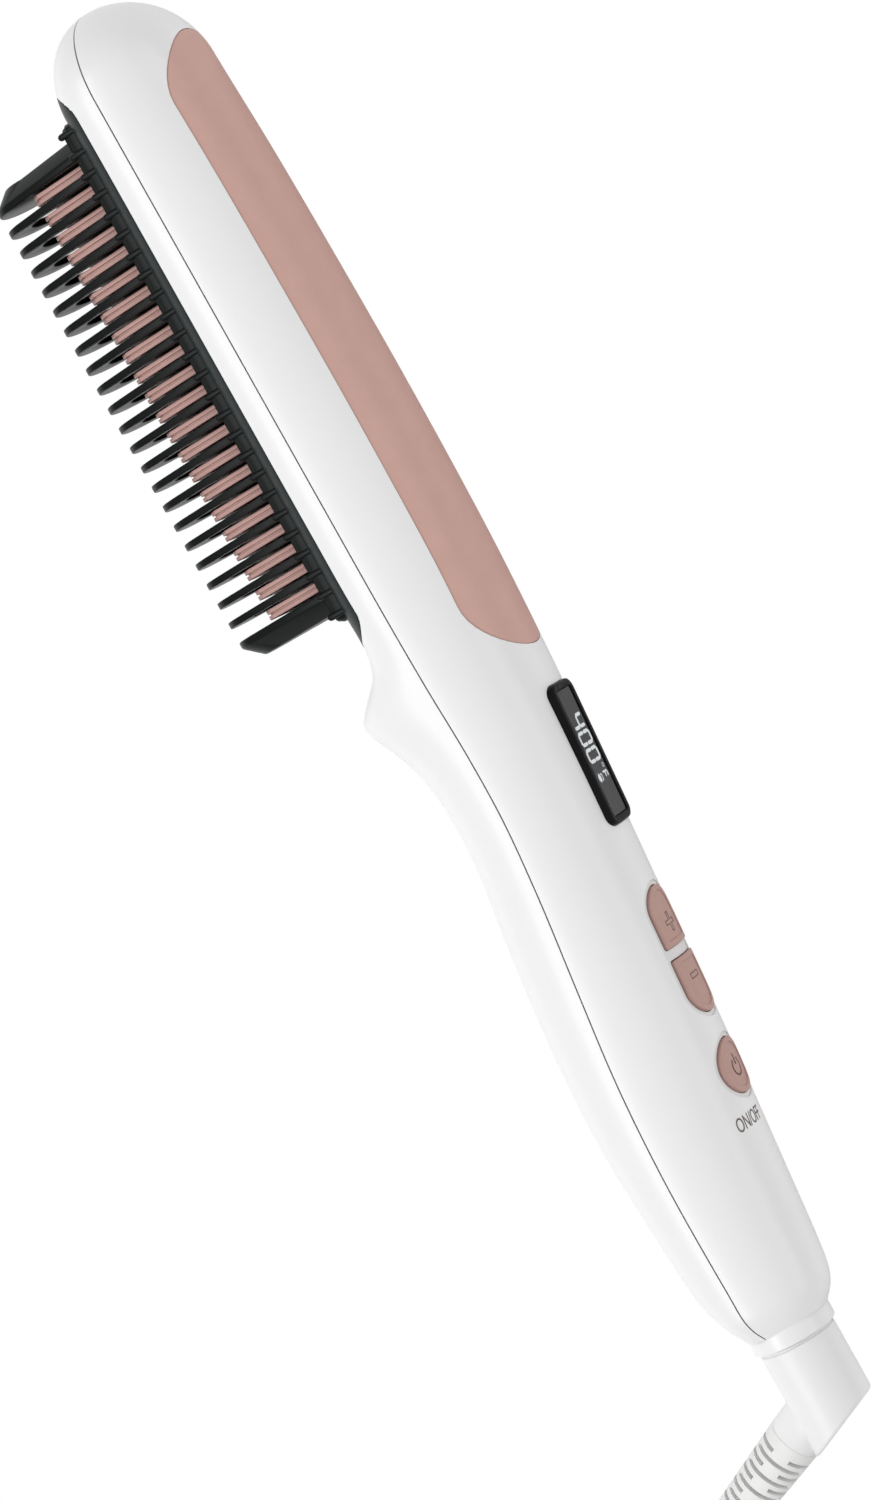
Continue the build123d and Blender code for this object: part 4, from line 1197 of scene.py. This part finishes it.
    def make(self) -> None:
        """Makes the comb."""
        start, end, _, corner = self.skirt
        skirt = Inlay(start, end, half_across(*self.skirt), Side.BELLY, rows=110, columns=44, turn=corner)
        piece = skirt.solid(*self.skirt_plate).make("skirt_frame", SKIRT_BLACK, Body.BRUSH, angle=40.0)
        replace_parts(piece, "comb_skirt")
        rail = self.block("comb_rail", self.rail_bottom, self.rail_half, 0.0, 0.3)
        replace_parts(rail, "comb_frame")
        self.block("comb_step", self.step_bottom, self.rail_half + self.step_reach, self.step_reach, 0.12)
        self.knuckles()
        mould = Mould()
        for i in range(2, self.blades):
            self.blade(mould, self.first_rib + i * self.pitch)
        mould.make("comb_blades", COMB_BLACK, Body.BRUSH, bevel=0.2 * MM)
        ends = Mould()
        self.end_blade(ends, self.first_rib + self.pitch, -1)
        self.end_blade(ends, self.first_rib + self.blades * self.pitch, 1)
        ends.make("comb_end_blades", COMB_BLACK, Body.BRUSH, bevel=0.35 * MM, segments=3)
        self.fins()
        log.info("comb made")


@dataclass
class Marks:
    """Printed signs on the buttons and the shell."""

    plus_s: float = 206.4
    minus_s: float = 217.6
    power_s: float = 237.0
    letters_s: float = 246.9
    letters_z: float = 3.2
    narrow: float = 0.56
    sign_line: float = 0.2
    sign_arm: float = 1.9
    sign_half: float = 0.4
    power_radius: float = 1.75
    power_line: float = 0.42
    power_sweep: float = 145.0
    power_bar: Flat = (-2.6, -0.4)
    letters_size: float = 4.0

    def lettering(self, text: str) -> None:
        """Makes letters laid on the back, reading towards the far side with their tops towards the head."""
        curve = bpy.data.curves.new("letters", "FONT")
        curve.body = text
        curve.size = self.letters_size
        curve.align_x = "CENTER"
        curve.align_y = "CENTER"
        curve.extrude = 0.05
        source = added("letters", curve)
        graph = bpy.context.evaluated_depsgraph_get()
        made = bpy.data.meshes.new_from_object(source.evaluated_get(graph))
        bpy.data.objects.remove(source)
        for vertex in made.vertices:
            across, up, out = vertex.co
            place_s, z = self.letters_s - up, self.letters_z - across * self.narrow
            y = FORM.height(place_s, z, 0.0, Side.BACK) + out
            vertex.co = FORM.point(place_s, y, z)
        piece = added("switch_letters", made)
        made.materials.clear()
        made.materials.append(MARK_BROWN.material())
        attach(piece, Body.BRUSH.value)

    def make(self) -> None:
        """Makes the signs."""
        line, arm, half = self.sign_line, self.sign_arm, self.sign_half
        quarter = ((arm, half), (half, half), (half, arm))
        cross = [*quarter, *((-s, z) for s, z in quarter[::-1]), *((-s, -z) for s, z in quarter),
                 *((s, -z) for s, z in quarter[::-1])]
        cross = [(self.plus_s + s, z) for s, z in cross]
        decal("plus_sign", outline_shapes(cross, line), MARK_ROSE, Body.PLUS)
        dash = [(self.minus_s + way * 0.5, way * z) for way in (1, -1) for z in (1.8, 0.9, 0.0, -0.9, -1.8)]
        decal("minus_sign", outline_shapes(dash, line), MARK_ROSE, Body.MINUS)
        sweep, half = self.power_sweep, self.power_line / 2
        power = arc_shapes(self.power_s, self.power_radius, self.power_line, -sweep, sweep)
        far, near = (self.power_s + end for end in self.power_bar)
        power.append([(far, -half), (near, -half), (near, half), (far, half)])
        decal("power_sign", power, MARK_ROSE, Body.POWER)
        self.lettering("ON/OFF")


@dataclass
class Lead:
    """The mains cord from the sleeve through its coil to the plug.

    Its route is the solids' one, but the coil lies 4 mm farther along the brush, out of the camera's view.
    """

    diameter: float = 5.6
    coil_s: float = 376.1
    coil_y: float = -30.5
    outer: float = 46.1
    spacing: float = 6.1
    rise: float = 6.1
    lay: float = -14.75
    turns_in: int = 7
    turns_out: int = 4
    swell: float = 0.966
    length: float = 1.56
    way_in: Sequence[Triple] = (
        (324.247, -53.026, 0.0), (330.74, -66.54, 0.0), (352.6, -84.1, -4.0), (379.9, -86.0, -10.0),
        (405.4, -75.1, -14.0), (422.2, -55.0, -14.75), (422.2, -36.1, -14.75))
    way_out: Sequence[Triple] = (
        (410.0, -24.9, -8.65), (410.0, -2.9, -7.6), (398.0, 11.8, -4.6), (379.0, 17.4, -1.6),
        (360.7, 11.8, 0.8), (350.0, -2.9, 2.2), (350.0, -20.0, 2.2))

    def half_turn(self, right: float, way: int, radius: float, low: float, high: float) -> list[Vector]:
        """Six points of a half turn.

        Args:
            right: where the half turn starts, as a distance from the coil's middle.
            way: 1 where it goes down the near end from left to right, -1 for the way back.
            radius: radius of the cord's line.
            low: height where it starts.
            high: height where it ends.

        Returns:
            The points, in the row frame.
        """
        centre = self.coil_s + right + way * radius
        points = []
        for i in range(6):
            across, down = around(way * radius / self.swell, 15 + 30 * i)
            points.append(FORM.point(centre - across, self.coil_y - down, low + (high - low) * (i + 0.5) / 6))
        return points

    def points(self) -> list[Vector]:
        """All points of the cord's line."""
        route = [FORM.point(*p) for p in self.way_in]
        here, way, radius = self.outer, -1, self.outer
        low, high, top = self.lay, self.lay, self.lay + self.rise
        for k in range(self.turns_in + 1 + self.turns_out):
            if k == self.turns_in:
                high = top
            elif k > self.turns_in:
                low = top
            route += self.half_turn(here, way, radius, low, high)
            here, way = here + 2 * way * radius, -way
            radius += self.spacing / 2 if k >= self.turns_in else -self.spacing / 2
        return route + [FORM.point(*p) for p in self.way_out]

    def make(self, nodes: dict) -> None:
        curve = bpy.data.curves.new("mains_cord", "CURVE")
        curve.dimensions = "3D"
        curve.bevel_depth = self.diameter / 2 * MM
        curve.bevel_resolution = 5
        curve.resolution_u = 6
        spline = curve.splines.new("NURBS")
        route = self.points()
        spline.points.add(len(route) - 1)
        for k, place in enumerate(route):
            spline.points[k].co = (*place, 1.0)
        spline.order_u = 3
        spline.use_endpoint_u = True
        curve.use_fill_caps = True
        piece = added("mains_cord", curve)
        curve.materials.append(CORD_PVC.material())
        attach(piece, Body.CORD_END.value)
        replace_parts(piece, "power_cord", "cord_coil", "cord_tail")
        log.info("cord, %d points", len(route))


@dataclass
class Studio:
    """Camera, floor and lights."""

    target: Triple = (0.0, -0.0030, 0.0175)
    distance: float = 0.792
    lens: float = 98.0
    tilt: float = 24.9
    roll: float = 60.66
    yaw: float = -0.6
    ambient: float = 0.45
    floor_half: float = 3.0
    floor_colour: Triple = (0.90, 0.90, 0.90)
    strip: Flat = (2.2, 0.45)
    lit: Triple = (0.0, 0.0, 0.02)

    def camera(self) -> None:
        """Camera nearly straight above, tilted to the back of the head."""
        data = bpy.data.cameras.new("camera")
        data.lens = self.lens
        data.sensor_width = 36.0
        tilt, roll, yaw = math.radians(self.tilt), math.radians(self.roll), math.radians(self.yaw)
        steep = Vector((0, math.sin(tilt), math.cos(tilt)))
        up = Vector((0, math.cos(tilt), -math.sin(tilt)))
        back = steep * math.cos(yaw) + Vector((1, 0, 0)) * math.sin(yaw)
        level = Vector((1, 0, 0)) * math.cos(yaw) - steep * math.sin(yaw)
        right = level * math.cos(roll) + up * math.sin(roll)
        above = up * math.cos(roll) - level * math.sin(roll)
        camera = added("camera", data)
        turn = Matrix((right, above, back)).transposed()
        camera.matrix_world = Matrix.Translation(Vector(self.target) + back * self.distance) @ turn.to_4x4()
        bpy.context.scene.camera = camera

    def lamp(self, name: str, place: Triple, energy: float) -> None:
        """Makes one soft lamp, long and narrow, that shines on the brush."""
        data = bpy.data.lights.new(name, "AREA")
        data.shape = "RECTANGLE"
        data.size, data.size_y = self.strip
        data.energy = energy
        lamp = added(name, data)
        lamp.location = place
        lamp.rotation_euler = (Vector(self.lit) - Vector(place)).to_track_quat("-Z", "Y").to_euler()

    def floor(self) -> None:
        """Pale floor that the camera sees as plain white."""
        mould = Mould()
        reach = self.floor_half
        mould.cap(mould.ring([Vector((x * reach, y * reach, 0))
                              for x, y in ((-1, -1), (1, -1), (1, 1), (-1, 1))]))
        shader = Shader("white_floor")
        ray = shader.node("ShaderNodeLightPath", {}, {}).outputs["Is Camera Ray"]
        glow = shader.node("ShaderNodeEmission", {}, {"Color": rgba((1.0, 1.0, 1.0)), "Strength": 1.0})
        shader.set(Base_Color=rgba(self.floor_colour), Roughness=0.9)
        shaded = shader.main.outputs[0]
        mixed = shader.node("ShaderNodeMixShader", {}, {0: ray, 1: shaded, 2: glow.outputs[0]})
        shader.feed(shader.tree.nodes["Material Output"].inputs["Surface"], mixed.outputs[0])
        piece = added("floor", mould.mesh("floor"))
        piece.data.materials.append(shader.material)

    def world(self) -> None:
        """Even white surroundings."""
        world = bpy.data.worlds.new("surroundings")
        world.use_nodes = True
        background = world.node_tree.nodes["Background"]
        background.inputs["Color"].default_value = rgba((1.0, 1.0, 1.0))
        background.inputs["Strength"].default_value = self.ambient
        bpy.context.scene.world = world

    def make(self) -> None:
        """Sets the stage."""
        bpy.context.scene.view_settings.view_transform = "Standard"
        self.camera()
        self.floor()
        self.world()
        self.lamp("far_strip", (0.0, 1.15, 0.30), 4.5)
        self.lamp("near_strip", (0.0, -0.62, 1.08), 13.2)


def main() -> None:
    """Builds every sub-assembly over the frame, in order."""
    logging.basicConfig(level=logging.INFO)
    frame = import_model()
    Studio().make()
    Lead().make(frame["nodes"])
    for name, finish in NODE_FINISHES.items():
        for place in frame["nodes"][name].material_slots:
            place.material = finish.material()
    buttons = Buttons()
    Housing().make(buttons)
    for kind in Kind:
        buttons.make(kind)
    Display().make()
    Swivel().make()
    Comb().make()
    Marks().make()
    bpy.context.view_layer.update()


if __name__ == "__main__":
    main()
